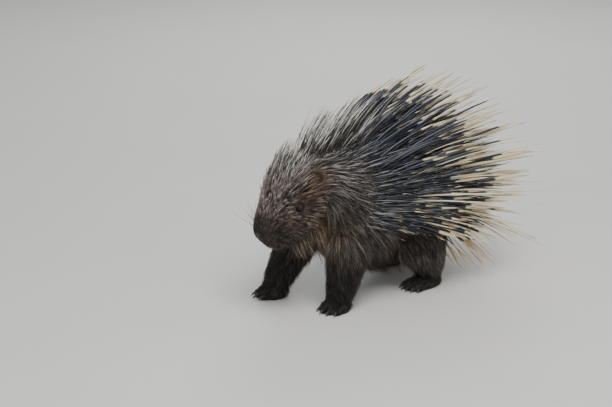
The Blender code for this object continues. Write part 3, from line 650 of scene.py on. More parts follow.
def joined(name, objects):
    """Many objects made one."""
    select_only(*objects)
    bpy.ops.object.join()
    objects[0].name = name
    return objects[0]


def apply_modifier(obj, kind, **settings):
    """Adds a modifier with its settings and applies it at once."""
    modifier = obj.modifiers.new(kind.lower(), kind)
    for key, value in settings.items():
        setattr(modifier, key, value)
    select_only(obj)
    bpy.ops.object.modifier_apply(modifier=modifier.name)


print("rings of the body have", RING, "points")


# %% Tubes and balls
def tube(name, rings):
    """Circles on the given sections, bridged, with both ends closed."""
    hoops = []
    for ring in rings:
        bpy.ops.mesh.primitive_circle_add(vertices=len(ring))
        hoops.append(bpy.context.object)
        hoops[-1].data.vertices.foreach_set("co", np.ravel(ring))
    made = joined(name, hoops)
    bpy.ops.object.mode_set(mode="EDIT")
    bpy.ops.mesh.select_all(action="SELECT")
    bpy.ops.mesh.bridge_edge_loops()
    bpy.ops.mesh.select_all(action="SELECT")
    bpy.ops.mesh.fill_holes(sides=0)
    bpy.ops.mesh.normals_make_consistent(inside=False)
    bpy.ops.object.mode_set(mode="OBJECT")
    return made


def ball(name, centre, radii, turn=None, segments=24):
    """A ball of three half sizes, turned and put in place, with its place in its mesh."""
    bpy.ops.mesh.primitive_uv_sphere_add(segments=segments, ring_count=segments // 2)
    made = bpy.context.object
    made.name = name
    made.data.transform(Matrix.Diagonal((*radii, 1.0)))
    made.data.transform((turn or Matrix.Identity(3)).to_4x4())
    made.data.transform(Matrix.Translation(centre))
    return made


# %% [markdown]
# Toes fan out ahead of each foot. A toe is two balls, its knuckle and its tip, and under them lie
# a flat pad and a round heel or wrist.

# %% The masses of a foot
TOE_HEIGHT, TOE_FAN, TOE_DROP = 0.95, 0.35, 0.3  # of a toe's start, its spread and its fall
SIDE_TOE_BACK, SIDE_TOE_SHORTER = 0.5, 0.18  # the outer toes start further back
TOE_START, TOE_MARGIN = 0.9, 0.75  # of the middle toe behind the sole's end, and at the sides
PAD_HEIGHT, HEEL_HEIGHT, HEEL_AHEAD, HEEL_SIZE = 0.55, 1.3, 0.2, (2.0, 2.2, 2.2)
KNUCKLE_SIZE, TOE_SIZE = (0.0064, 0.0085, 0.0066), (0.0058, 0.0092, 0.0054)
KNUCKLE_PLACE, KNUCKLE_RISE, TOE_PLACE = 0.15, 0.0015, 0.62


def toe_places(name):
    """Where each toe starts and ends, fanned out ahead of the foot."""
    x, y, turn, ahead, _, half_width, count = FEET[name]
    facing = np.array(Matrix.Rotation(math.radians(turn), 3, "Z"))
    for share in np.linspace(-1, 1, count):
        forward = -(ahead - TOE_START - SIDE_TOE_BACK * share**2)
        start = np.array([share * (half_width - TOE_MARGIN), forward, TOE_HEIGHT])
        fan = unit(np.array([share * TOE_FAN, -1.0, 0.0]))
        end = start + fan * TOE_LENGTH * (1 - SIDE_TOE_SHORTER * share**2) + (0, 0, -TOE_DROP)
        yield [(np.array([x, y, 0]) + facing @ p) * CM + shift for p in (start, end)]


def foot_masses(name):
    """Wrist or heel, pad and toes, each toe with its knuckle."""
    x, y, turn, ahead, behind, half_width, _ = FEET[name]
    facing = Matrix.Rotation(math.radians(turn), 3, "Z")
    middle = Vector((x, y, PAD_HEIGHT)) + facing @ Vector((0, -(ahead - behind) / 2, 0))
    pad_size = Vector((half_width, (ahead + behind) / 2, SOLE_THICKNESS)) * CM
    masses = [ball("pad", middle * CM + Vector(shift), pad_size, facing)]
    heel = Vector((x, y, HEEL_HEIGHT)) + facing @ Vector((0, -HEEL_AHEAD, 0))
    masses.append(ball("heel", heel * CM + Vector(shift), Vector(HEEL_SIZE) * CM, facing))
    for start, end in toe_places(name):
        along = Vector(end - start)
        turned = along.to_track_quat("Y", "Z").to_matrix()
        knuckle = Vector(start) + along * KNUCKLE_PLACE + Vector((0, 0, KNUCKLE_RISE))
        masses.append(ball("knuckle", knuckle, KNUCKLE_SIZE, turned, 16))
        tip = Vector(start).lerp(Vector(end), TOE_PLACE)
        masses.append(ball("toe", tip, TOE_SIZE, turned, 16))
    return masses


print("toes of a front foot:", len(list(toe_places("front_left"))))

# %% The masses of the body
TRUNK_INSET, LEG_INSET, TAIL_INSET = 0.5, 0.15, 0.15
FACE_INSET, NAPE_INSET = 0.12, 0.35  # at the nose and at the head's joint
TRUNK_RINGS, HEAD_RINGS, TAIL_RINGS, LEG_RINGS = 34, 26, 9, 13


def face_inset(from_nose):
    """How deep the skin lies inside the head's sections, less at the bare nose."""
    return np.interp(from_nose, (1.0, HEAD_LENGTH), (FACE_INSET, NAPE_INSET))


stations = np.linspace(0.35, NAPE, TRUNK_RINGS)
masses = [tube("trunk", [trunk(np.full(RING, t), TURN, -TRUNK_INSET) for t in stations])]
closing_up = 1 - (1 - np.linspace(0, 1, HEAD_RINGS)) ** 1.5  # rings lie closer near the nose
stations = HEAD_LENGTH - (HEAD_LENGTH - HEAD[-1][0]) * closing_up
masses.append(tube("head", [head(np.full(RING, d), TURN, -face_inset(d)) for d in stations]))
stations = np.linspace(0, 3, TAIL_RINGS)
masses.append(tube("tail", [tail(np.full(RING, t), TURN, -TAIL_INSET) for t in stations]))
for name in LEGS:
    stations = np.linspace(0, 4, LEG_RINGS)
    sections = [leg(name, np.full(RING, t), TURN, -LEG_INSET) for t in stations]
    masses += [tube("leg_" + name, sections)] + foot_masses(name)
print(len(masses), "masses before they are fused")

# %% Fuse the masses into one skin
SKIN_VOXEL = 0.003
skin = joined("skin", masses)
apply_modifier(skin, "REMESH", mode="VOXEL", voxel_size=SKIN_VOXEL)
apply_modifier(skin, "SMOOTH", factor=0.5, iterations=6)
print("skin:", len(skin.data.polygons), "faces at", SKIN_VOXEL * 1000, "mm")

# %% [markdown]
# The skin is unwrapped by its own shape now, while it is still plain. The face is then divided
# twice more, and its points are moved as a sculptor would: sockets and lids round the eyes,
# the line of the mouth between two lips, and slits for the nostrils.


# %% Unwrap and divide
def select_faces(obj, chosen):
    """Leaves obj in edit mode with only the chosen faces selected."""
    select_only(obj)
    bpy.ops.object.mode_set(mode="EDIT")
    bpy.ops.mesh.select_mode(type="FACE")
    bpy.ops.mesh.select_all(action="DESELECT")
    bpy.ops.object.mode_set(mode="OBJECT")
    obj.data.polygons.foreach_set("select", np.asarray(chosen, bool))
    bpy.ops.object.mode_set(mode="EDIT")


def read(items, what, width=1, kind=float):
    """One property of many points, edges, faces or corners as an array."""
    values = np.empty(len(items) * width, kind)
    items.foreach_get(what, values)
    return values.reshape(-1, width) if width > 1 else values


def points_of(obj):
    """The places of an object's points, in metres."""
    return read(obj.data.vertices, "co", 3)


def put_points(obj, points):
    """Moves an object's points to new places."""
    obj.data.vertices.foreach_set("co", np.ravel(points))
    obj.data.update()


def head_axes(from_nose):
    """The middle of a head section and its directions: left, up and ahead."""
    centre, tilt, yaw = (value[0] for value in head_axis(from_nose))
    turn = np.array(Matrix.Rotation(yaw, 3, "Z"))
    upwards = turn @ np.array([0, -math.sin(tilt), math.cos(tilt)])
    leftwards = turn @ np.array([1.0, 0, 0])
    return centre * CM + shift, leftwards, upwards, np.cross(leftwards, upwards)


def divide(obj, places, reach):
    """Cuts the faces within reach of any of the places into four."""
    middles = read(obj.data.polygons, "center", 3)
    near = np.min([np.linalg.norm(middles - p, axis=1) for p in places], 0) < reach
    select_faces(obj, near)
    bpy.ops.mesh.subdivide(number_cuts=1, smoothness=0.0)
    bpy.ops.object.mode_set(mode="OBJECT")


UNWRAP_ANGLE, ISLAND_MARGIN = math.radians(66), 0.002
MUZZLE_REACH, NOSE_REACH, EYE_REACH = 5.5, 3.9, 1.9  # centimetres that are divided
skin.data.uv_layers.new(name="OFBake")
select_faces(skin, np.ones(len(skin.data.polygons)))
bpy.ops.uv.smart_project(angle_limit=UNWRAP_ANGLE, island_margin=ISLAND_MARGIN)
bpy.ops.object.mode_set(mode="OBJECT")
nose = head_axes(0.5)[0]
eyes = {side: eye_place(side) for side in (LEFT, RIGHT)}
divide(skin, [nose, head_axes(3.0)[0]], MUZZLE_REACH * CM)
divide(skin, [head_axes(0.8)[0] + head_axes(0.8)[3] * 0.006], NOSE_REACH * CM)
for _ in range(2):
    divide(skin, [eyes[LEFT][0], eyes[RIGHT][0]], EYE_REACH * CM)
print("skin after dividing the face:", len(skin.data.polygons), "faces")


# %% [markdown]
# Each eye opens as an almond 14 mm long. Inside the almond the skin sinks behind the eyeball,
# and round it the skin is laid over the ball, a little proud of it, which makes the two lids.
# A fold runs over the upper lid, and a fainter one under the lower lid.


# %% Eyes in the skin
def rise(x, low, high):
    """0 under low, 1 over high and a smooth rise between them."""
    share = np.clip((x - low) / (high - low), 0, 1)
    return share * share * (3 - 2 * share)


def eye_frame(side):
    """Directions of an eye's opening: towards the nose, and up."""
    _, normal = eyes[side]
    ahead = head_axes(EYE_STATION)[3]
    ahead = unit(ahead - normal * (ahead @ normal))
    upwards = np.cross(ahead, normal) * side
    return ahead, upwards if upwards[2] > 0 else -upwards


EYE_OPENING = (0.70, 0.30)  # half length and half height of the almond
EYE_TILT, ALMOND_POINT = math.radians(-8), 1.25  # how far past its ends the almond narrows
LID_THICKNESS, LID_START, LID_REACH, SOCKET_DEPTH = 0.10, 0.75, 1.5, 0.3
LID_EDGE, SOCKET_EDGE = (0.86, 1.15), (0.80, 0.97)  # shares of the almond's size
BEHIND_EYE, SKIN_GIVE, FAR_IN = -0.4, 0.25, -9  # how far in skin is left alone, or may sink
LID_FOLDS = (  # height, place above the eye, width and reach
    (0.05, 0.62, 0.10, 1.2),
    (-0.05, 0.47, 0.05, 1.1),
    (-0.035, -0.52, 0.06, 1.0),
)


def open_eye(points, side):
    """Lays the skin over one eyeball as two lids, and sinks it inside the almond."""
    centre, normal = eyes[side]
    ahead, upwards = eye_frame(side)
    away = (points - centre) / CM
    x, y, out = away @ ahead, away @ upwards, away @ normal
    cos, sin = math.cos(EYE_TILT), math.sin(EYE_TILT)
    x, y = x * cos + y * sin, y * cos - x * sin
    pinch = np.sqrt(np.clip(1 - (x / (EYE_OPENING[0] * ALMOND_POINT)) ** 2, 0.05, 1))
    almond = np.hypot(x / EYE_OPENING[0], y / (EYE_OPENING[1] * pinch))
    plane = np.hypot(x, y)
    near = (1 - rise(plane, LID_START, LID_REACH)) * (out > BEHIND_EYE)
    depth = np.where(almond < 1, -SOCKET_DEPTH * (1 - rise(almond, *SOCKET_EDGE)), 0.0)
    draped = EYE_RADIUS + LID_THICKNESS * rise(almond, *LID_EDGE) + depth
    for height, above, width, reach in LID_FOLDS:
        draped = draped + height * hill(y, above, width) * (plane < reach)
    flat = np.sqrt(np.clip(draped**2 - plane**2, 0, None))
    target = np.where(plane < draped, flat, 0.0)
    least = np.where(almond > 1, out - SKIN_GIVE, FAR_IN)
    new_out = out * (1 - near) + np.maximum(target, least) * near
    return points + (new_out - out)[:, None] * normal * CM


print("the eyes open", 2 * EYE_OPENING[0], "by", 2 * EYE_OPENING[1], "cm")

# %% [markdown]
# The mouth is a closed line between two lips, with a cleft up to the nose. The nostrils are
# slanting slits with a raised rim. Each is a groove or a swelling along the skin's normals.

# %% Mouth and nostrils in the skin
MOUTH_DROP, MOUTH_REACH, MOUTH_WIDTH, MOUTH_DEPTH = 2.5, 4.6, 0.085, 0.28
LIP_HEIGHT, LIP_WIDTH, LIP_SWELL, CORNER_RISE = 0.30, 0.2, 0.12, 0.35
CLEFT_WIDTH, CLEFT_DEPTH, CLEFT_START, CLEFT_END = 0.09, 0.16, (-1.6, -1.2), (0.6, 0.9)
MUZZLE_MIDDLE, NOSE_FRONT = 2.0, (0.6, 1.2)  # from the nose tip, and ahead of that section
NOSTRIL_SIDE, NOSTRIL_UP, NOSTRIL_SIZE = 0.85, 1.15, (0.17, 0.46)
NOSTRIL_TURN, NOSTRIL_DEPTH, NOSTRIL_RIM = math.radians(26), 0.42, 0.09
SLIT_EDGE, RIM_PLACE = (0.45, 1.05), (1.45, 0.5)  # shares of the nostril's size
FLOOR_CLEARANCE = 0.0004


def shape_muzzle(points, normals):
    """The line of the mouth, its lips, the cleft under the nose and the nostrils."""
    centre, leftwards, upwards, ahead = head_axes(MUZZLE_MIDDLE)
    away = (points - centre) / CM
    x, y, z = away @ leftwards, away @ upwards, away @ ahead
    from_tip = MUZZLE_MIDDLE - z
    mouth = (1 - rise(from_tip, MOUTH_REACH - 1.2, MOUTH_REACH)) * (y < 0.2)
    height = y + MOUTH_DROP - CORNER_RISE * rise(from_tip, MUZZLE_MIDDLE, MOUTH_REACH)
    lips = LIP_SWELL * hill(np.abs(height), LIP_HEIGHT, LIP_WIDTH)
    push = mouth * (lips - MOUTH_DEPTH * hill(height, 0, MOUTH_WIDTH))
    front = rise(z, *NOSE_FRONT)
    cleft = CLEFT_DEPTH * front * hill(x, 0, CLEFT_WIDTH)
    push = push - cleft * rise(y, *CLEFT_START) * (1 - rise(y, *CLEFT_END))
    for side in (LEFT, RIGHT):
        across, rising = x - NOSTRIL_SIDE * side, y - NOSTRIL_UP
        turned = NOSTRIL_TURN * side
        p = across * math.cos(turned) - rising * math.sin(turned)
        q = across * math.sin(turned) + rising * math.cos(turned)
        slit = np.hypot(p / NOSTRIL_SIZE[0], q / NOSTRIL_SIZE[1])
        hollow = NOSTRIL_DEPTH * (1 - rise(slit, *SLIT_EDGE))
        push = push + front * (NOSTRIL_RIM * hill(slit, *RIM_PLACE) - hollow)
    return points + normals * (push * CM)[:, None]


def turn_outwards(obj):
    """Makes all faces of a closed mesh look outwards."""
    select_faces(obj, np.ones(len(obj.data.polygons)))
    bpy.ops.mesh.normals_make_consistent(inside=False)
    bpy.ops.object.mode_set(mode="OBJECT")


shaped = shape_muzzle(points_of(skin), read(skin.data.vertices, "normal", 3))
for side in (LEFT, RIGHT):
    shaped = open_eye(shaped, side)
shaped[:, 2] = np.maximum(shaped[:, 2], FLOOR_CLEARANCE)
put_points(skin, shaped)
turn_outwards(skin)
smooth(skin)
print("lids, lips and nostrils are in the skin")

# %% [markdown]
# ## Combing the skin
# Hair is groomed by painting on the skin which way it lies, how long it is and how dense. The
# same is done here with numbers: every point of the skin finds the nearest place on the body's
# tubes, reads its values from small tables there, and then shares them with its neighbours a
# few times, so that the lie turns smoothly from trunk to leg and from neck to head.

# %% Tables of the trunk's coat
# Rows are stations of the trunk and columns are degrees from the spine's line.
TRUNK_ROWS, TRUNK_COLUMNS = (0, 2, 4.5, 6.3, 7.2, 8, 9), (0, 45, 90, 120, 150, 180)
TRUNK_LENGTH = (
    (4.0, 4.0, 5.0, 6.5, 6.0, 5.0),
    (4.5, 4.5, 6.0, 8.5, 8.5, 6.5),
    (4.5, 5.0, 6.5, 8.5, 8.5, 7.0),
    (6.5, 6.5, 7.5, 8.0, 8.0, 6.5),
    (6.5, 6.5, 7.0, 7.5, 7.0, 5.5),
    (6.5, 6.5, 6.5, 7.0, 6.5, 5.5),
    (5.5, 5.3, 5.0, 6.0, 6.0, 5.5),
)
TRUNK_LIFT = (
    (1.2, 1.2, 1.4, 1.8, 1.8, 1.5),
    (1.3, 1.3, 1.8, 2.4, 2.2, 1.3),
    (1.4, 1.5, 1.8, 2.4, 2.2, 1.2),
    (2.2, 2.2, 2.2, 2.4, 2.0, 1.3),
    (2.4, 2.4, 2.2, 2.4, 2.0, 1.5),
    (2.3, 2.2, 2.0, 2.2, 2.2, 1.8),
    (2.0, 1.8, 1.6, 2.0, 2.2, 2.0),
)
TRUNK_DENSITY = (  # tufts on a square centimetre
    (9, 9, 10, 12, 10, 8),
    (8, 8, 12, 20, 15, 8),
    (9, 10, 15, 24, 17, 8),
    (32, 32, 34, 34, 22, 11),
    (40, 40, 40, 38, 26, 13),
    (40, 40, 40, 38, 30, 18),
    (38, 38, 38, 38, 32, 26),
)
TRUNK_FALL = (  # degrees that the tufts turn from backwards towards the belly
    (0, 0, 10, 24, 24, 0),
    (0, 2, 14, 30, 32, 0),
    (0, 2, 12, 28, 30, 0),
    (0, 5, 16, 30, 32, 0),
    (0, 10, 24, 36, 36, 0),
    (0, 14, 32, 42, 36, 0),
    (0, 16, 36, 46, 36, 0),
)
TRUNK_TABLES = (TRUNK_LENGTH, TRUNK_LIFT, TRUNK_DENSITY, TRUNK_FALL)
print("longest hair of the trunk:", np.max(TRUNK_LENGTH), "cm")

# %% Tables of the head's coat
HEAD_ROWS, HEAD_COLUMNS = (0, 1.5, 4, 7, 10, 12.5, 14), (0, 45, 90, 135, 180)
HEAD_LENGTH_OF_FUR = (
    (0.35, 0.35, 0.35, 0.35, 0.35),
    (0.7, 0.7, 0.7, 1.1, 1.3),
    (1.3, 1.2, 1.2, 2.0, 2.6),
    (2.3, 2.0, 1.7, 3.4, 4.4),
    (3.0, 2.8, 2.4, 4.4, 5.2),
    (3.6, 3.6, 3.6, 5.2, 5.6),
    (4.2, 4.2, 4.4, 5.6, 5.6),
)
HEAD_LIFT = (
    (0.12, 0.12, 0.12, 0.12, 0.12),
    (0.26, 0.22, 0.2, 0.5, 0.6),
    (0.7, 0.6, 0.4, 0.9, 1.4),
    (1.9, 1.4, 0.6, 1.8, 2.4),
    (3.2, 2.5, 0.9, 2.5, 2.9),
    (3.9, 3.2, 1.5, 2.6, 2.8),
    (3.8, 3.2, 2.0, 2.6, 2.6),
)
HEAD_DENSITY = (50, 58, 48, 39, 31, 27, 25)  # by row alone
HEAD_FALL = (
    (0, 0, 0, 0, 0),
    (0, 3, 6, 14, 0),
    (0, 6, 14, 30, 0),
    (0, 8, 20, 46, 0),
    (0, 10, 24, 55, 0),
    (0, 12, 26, 55, 0),
    (0, 14, 28, 50, 0),
)
HEAD_TABLES = (HEAD_LENGTH_OF_FUR, HEAD_LIFT, HEAD_DENSITY, HEAD_FALL)


def on_grid(rows, columns, grid, row, column):
    """Values between the entries of a table, in both directions."""
    grid = np.asarray(grid, float)
    if grid.ndim == 1:
        return np.interp(row, rows, grid)
    i = np.clip(np.searchsorted(rows, row, "right") - 1, 0, len(rows) - 2)
    rows = np.asarray(rows, float)
    share = np.clip((row - rows[i]) / (rows[i + 1] - rows[i]), 0, 1)
    by_row = np.stack([np.interp(column, columns, line) for line in grid])
    pick = np.arange(len(row))
    return by_row[i, pick] * (1 - share) + by_row[i + 1, pick] * share


print("longest hair of the head:", np.max(HEAD_LENGTH_OF_FUR), "cm")

# %% The lie of the coat on the tubes
# Length, lift, tufts on a square centimetre and fall, at a leg's top, its foot, and elsewhere.
LEG_TOP_COAT, LEG_FOOT_COAT = (4.8, 1.7, 18.0, 0.0), (2.3, 1.0, 28.0, 0.0)
TAIL_COAT, FOOT_COAT = (2.0, 0.7, 14.0, 0.0), (1.4, 0.5, 32.0)
PLACES_ROUND, LEG_SWEEP = 60, (0.0, 0.25, 0.0)
ALONG_TOES, FOOT_LIE = (-1.5, 0, 0.5, 1), (0, -1.0, -0.35)


def coat_at(name, station, degrees):
    """Length, lift, density and fall at stations and degrees of one tube."""
    if name == "trunk":
        return [on_grid(TRUNK_ROWS, TRUNK_COLUMNS, g, station, degrees) for g in TRUNK_TABLES]
    if name == "head":
        return [on_grid(HEAD_ROWS, HEAD_COLUMNS, g, station, degrees) for g in HEAD_TABLES]
    if name == "tail":
        return [np.full(len(station), value) for value in TAIL_COAT]
    down = np.interp(station, (0, 4), (0, 1))
    return [top + (low - top) * down for top, low in zip(LEG_TOP_COAT, LEG_FOOT_COAT)]


def lie_on(surface, name, stations, backward, inset):
    """Places on one tube with the way the coat lies there, its length, lift and density."""
    turns = np.linspace(-math.pi, math.pi, PLACES_ROUND)
    station, angle = (grid.ravel() for grid in np.meshgrid(stations, turns))
    place, normal, along, around = frames_of(surface, station, angle)
    place = place - normal * inset * CM
    length, lift, density, fall = coat_at(name, station, np.abs(np.degrees(angle)))
    fall = np.radians(fall)[:, None] * np.sign(angle)[:, None]
    lie = unit(along * backward * np.cos(fall) + around * np.sin(fall))
    if name in LEGS:
        lie = unit(lie + np.array(LEG_SWEEP))
    return place, lie, np.stack([length, lift, density], -1)


def lie_on_foot(name):
    """The same for a foot: places along its toes and one on its back."""
    x, y, turn, *_ = FEET[name]
    facing = np.array(Matrix.Rotation(math.radians(turn), 3, "Z"))
    toes = toe_places(name)
    spots = np.array([start * (1 - s) + end * s for start, end in toes for s in ALONG_TOES])
    back_of_foot = (np.array([x, y, 1.5]) + facing @ (0, -0.8, 0)) * CM + shift
    spots = np.vstack([spots, [back_of_foot]])
    lie = np.tile(unit(facing @ np.array(FOOT_LIE)), (len(spots), 1))
    return spots, lie, np.tile(FOOT_COAT, (len(spots), 1))


samples = [
    lie_on(trunk, "trunk", np.linspace(0.2, NAPE - 0.1, 60), -1, TRUNK_INSET),
    lie_on(head, "head", np.linspace(0.1, HEAD_LENGTH - 0.4, 40), 1, FACE_INSET),
    lie_on(tail, "tail", np.linspace(0.4, 2.9, 10), 1, TAIL_INSET),
]
for name in LEGS:
    samples.append(lie_on(partial(leg, name), name, np.linspace(0.4, 4, 20), 1, LEG_INSET))
samples += [lie_on_foot(name) for name in FEET]
places, lies, coat_values = (np.vstack(group) for group in zip(*samples))
print(len(places), "places tell the skin how its coat lies")


# %% Read the tables at every point of the skin
def nearest(places, wanted):
    """The index of the nearest place to each wanted point."""
    tree = KDTree(len(places))
    for i, place in enumerate(places):
        tree.insert(place, i)
    tree.balance()
    return np.array([tree.find(point)[1] for point in wanted])


def shared(values, edges, times):
    """Values that each point has averaged with its neighbours a number of times."""
    count = np.bincount(edges.ravel(), minlength=len(values))[:, None] + 1
    for _ in range(times):
        total = values.copy()
        np.add.at(total, edges[:, 0], values[edges[:, 1]])
        np.add.at(total, edges[:, 1], values[edges[:, 0]])
        values = total / count
    return values


LIE_SHARINGS, COAT_SHARINGS = 30, 20
skin_points, skin_normals = points_of(skin), read(skin.data.vertices, "normal", 3)
edges = read(skin.data.edges, "vertices", 2, int)
closest = nearest(places, skin_points)
skin_lie = shared(lies[closest], edges, LIE_SHARINGS)
skin_coat = shared(coat_values[closest], edges, COAT_SHARINGS)
skin_lie = unit(skin_lie - skin_normals * np.sum(skin_lie * skin_normals, -1, keepdims=True))
lengths = np.percentile(skin_coat[:, 0], (0, 50, 100))
print("coat length on the skin, least, middle and most, cm:", np.round(lengths, 2).tolist())

# %% [markdown]
# ## Markings
# The colours follow the animal: silver-grey shoulders that turn brown towards the belly, black
# legs, a grey-brown face with a near-black muzzle, a warm brown patch round eye and ear, and a
# pale patch behind the jaw. The golden throat under the jaw is made lighter than its own colour,
# as painted light on the shaded underside of the head. Each mark is a place on the body, a reach
# and a colour, laid over the ones before it, and the skin and all that grows from it take the same
# result.

# %% The marks
# Surface, station, degrees, reach in centimetres, strength and colour, all on both sides.
MARKS = (
    (trunk, 7.6, 0, 9.0, 0.9, (0.115, 0.107, 0.100)),
    (trunk, 6.6, 60, 6.5, 0.8, (0.105, 0.096, 0.088)),
    (trunk, 5.0, 125, 8.0, 0.8, (0.058, 0.042, 0.032)),
    (trunk, 2.0, 125, 8.0, 0.8, (0.052, 0.035, 0.025)),
    (trunk, 7.6, 120, 5.0, 0.8, (0.064, 0.053, 0.044)),
    (head, 12.0, 0, 4.5, 0.8, (0.130, 0.116, 0.106)),
    (head, 9.0, 0, 4.0, 0.9, (0.138, 0.114, 0.104)),
    (head, 6.0, 20, 3.5, 0.9, (0.134, 0.108, 0.098)),
    (head, 9.0, 110, 3.6, 0.9, (0.125, 0.096, 0.074)),
    (head, 5.5, 100, 2.8, 0.9, (0.105, 0.074, 0.060)),
    (head, 9.2, 78, 2.2, 0.95, (0.090, 0.060, 0.045)),
    (head, 8.9, 80, 1.3, 0.95, (0.040, 0.026, 0.021)),
    (head, 11.2, 68, 2.2, 0.95, (0.100, 0.065, 0.045)),
    (head, 13.0, 50, 1.8, 0.9, (0.100, 0.066, 0.047)),
    (trunk, 8.75, 125, 1.9, 0.85, (0.190, 0.138, 0.075)),
    (trunk, 8.4, 140, 1.7, 0.75, (0.160, 0.115, 0.064)),
    # Golden throat hair, made lighter than its own colour as painted light on the shaded underside.
    (head, 8.5, 160, 3.4, 0.85, (0.210, 0.160, 0.105)),
    (head, 10.5, 132, 1.7, 0.85, (0.260, 0.215, 0.165)),
    (head, 2.6, 60, 2.2, 0.9, (0.040, 0.026, 0.020)),
    (head, 1.0, 0, 2.9, 1.0, (0.018, 0.012, 0.009)),
    (head, 1.6, 150, 2.2, 0.9, (0.046, 0.030, 0.022)),
)
BODY_COLOUR, LEG_COLOUR = (0.050, 0.041, 0.036), (0.017, 0.014, 0.012)
LID_COLOUR = (0.010, 0.007, 0.006)
LEG_HEIGHT, FROM_HEAD = (10 * CM, 16 * CM), (5 * CM, 8 * CM)  # where the legs' black begins
NOSE_PAD, LID_SIZE = (0.9 * CM, 1.5 * CM), (1.15, 0.62)
print(len(MARKS), "marks")


# %% Colours of the skin
def markings(points):
    """The colour of the coat at points: all the marks, and then the black of the legs."""
    colours = np.tile(BODY_COLOUR, (len(points), 1))
    for surface, station, degrees, reach, strength, colour in MARKS:
        for side in (LEFT, RIGHT) if degrees else (LEFT,):
            middle = surface(np.array([station]), np.array([math.radians(degrees * side)]))
            away = np.sum((points - middle) ** 2, 1) / (reach * CM) ** 2
            share = strength * np.exp(-(away**1.3))
            colours = colours * (1 - share[:, None]) + np.array(colour) * share[:, None]
    low = 1 - rise(points[:, 2], *LEG_HEIGHT)
    low = low * rise(np.linalg.norm(points - head_axes(4.0)[0], axis=1), *FROM_HEAD)
    return colours * (1 - low[:, None]) + np.array(LEG_COLOUR) * low[:, None]


def store(obj, name, kind, values):
    """Puts one value for each point of a mesh into an attribute of that name."""
    layer = obj.data.attributes.new(name, kind, "POINT")
    if kind == "FLOAT_COLOR":
        values = np.hstack([values, np.ones((len(values), 1))])
        layer.data.foreach_set("color", np.ravel(values).astype(np.float32))
    else:
        layer.data.foreach_set("value", np.ravel(values).astype(np.float32))


skin_tint = markings(skin_points)
_, _, nose_up, nose_ahead = head_axes(0.5)
nose_pad = nose + nose_up * 0.9 * CM + nose_ahead * 0.5 * CM
damp = 1 - rise(np.linalg.norm(skin_points - nose_pad, axis=1), *NOSE_PAD)
bare = damp.copy()
for side in (LEFT, RIGHT):
    centre, normal = eyes[side]
    ahead, upwards = eye_frame(side)
    away = (skin_points - centre) / CM
    x, y = away @ ahead, away @ upwards
    on_lid = 1 - rise(np.hypot(x / LID_SIZE[0], y / LID_SIZE[1]), 0.9, 1.2)
    on_lid = on_lid * (np.linalg.norm(away, axis=1) < 1.5)
    damp, bare = np.maximum(damp, on_lid * 0.6), np.maximum(bare, on_lid)
skin_tint = skin_tint * (1 - bare[:, None]) + np.array(LID_COLOUR) * bare[:, None]
store(skin, "tint", "FLOAT_COLOR", skin_tint)
store(skin, "damp", "FLOAT", damp)
skin.data.materials.clear()
skin.data.materials.append(hide)
print("colour of the skin on the average:", np.round(skin_tint.mean(0), 3).tolist())

# %% [markdown]
# ## One maker for quills, bristles and fur
# A strand is a closed, tapered prism of few sides along a path. Hundreds of thousands of faces
# are made at once with arrays, since adding strands one by one would take hours. Each strand
# also gets a small patch on the skin's unwrap, at its root, so that its baked colours stay its own.

# %% Roots on the skin
faces = skin.data.polygons
corners_of = [tuple(face.vertices) for face in faces]
skin_tree = BVHTree.FromPolygons([tuple(p) for p in skin_points], corners_of)
face_area = read(faces, "area")
face_size, face_start = read(faces, "loop_total", kind=int), read(faces, "loop_start", kind=int)
corner_point = read(skin.data.loops, "vertex_index", kind=int)
skin_uv = read(skin.data.uv_layers["OFBake"].data, "uv", 2)
face_uv = np.add.reduceat(skin_uv, face_start, axis=0) / face_size[:, None]


def by_face(values):
    """The mean over each face of a value that the points have."""
    size = face_size[:, None] if values.ndim > 1 else face_size
    return np.add.reduceat(values[corner_point], face_start, axis=0) / size


face_points, face_normals = by_face(skin_points), unit(by_face(skin_normals))
face_lie, face_coat, face_tint, face_bare = map(by_face, (skin_lie, skin_coat, skin_tint, bare))


def snapped(points):
    """The nearest places on the skin: point, normal and face."""
    found = [skin_tree.find_nearest(Vector(p)) for p in points]
    place = np.array([f[0] for f in found])
    return place, np.array([f[1] for f in found]), np.array([f[2] for f in found])


def sown(wanted):
    """Random roots on the skin, as dense as its tables say, on the faces that are wanted."""
    share = face_area / CM**2 * face_coat[:, 2] * wanted
    count = draw.poisson(share)
    face = np.repeat(np.arange(len(faces)), count)
    first = corner_point[face_start[face] + draw.integers(0, face_size[face])]
    mixed = draw.random((len(face), 1)) * 0.9
    return face_points[face] * (1 - mixed) + skin_points[first] * mixed, face


print("skin of", round(float(face_area.sum()) / CM**2), "square centimetres")

# %% [markdown]
# A strand's path either lies on the skin, step by step along its lie, or springs from it and
# arches. Tufts come about when the tips of neighbours are drawn to one of them.

# %% Paths of strands
ROOT_DEPTH, QUILL_ROOT_DEPTH = 0.002, 0.006  # metres of a strand inside the skin
LIFT_CURVE, DROOP_CURVE, LEADER_GAP = 0.8, 1.6, 0.3  # powers, and a share of the way between


def laid(root, face, length, lift, steps, droop, sway):
    """Paths that follow the skin along its lie, and rise to lift over it at their tips."""
    normal, lie = face_normals[face], unit(face_lie[face])
    lie = unit(lie + np.cross(normal, lie) * sway[:, None])
    path, place = [root - normal * ROOT_DEPTH], root
    for k in range(steps):
        place, normal, _ = snapped(place + lie * (length / steps)[:, None])
        lie = unit(lie - normal * np.sum(lie * normal, -1, keepdims=True))
        share = (k + 1) / steps
        over = (lift * share**LIFT_CURVE)[:, None] * normal
        fallen = np.array([0, 0, 1.0]) * (droop * length)[:, None] * share**DROOP_CURVE
        path.append(place + over - fallen)
    return np.stack(path, 1)


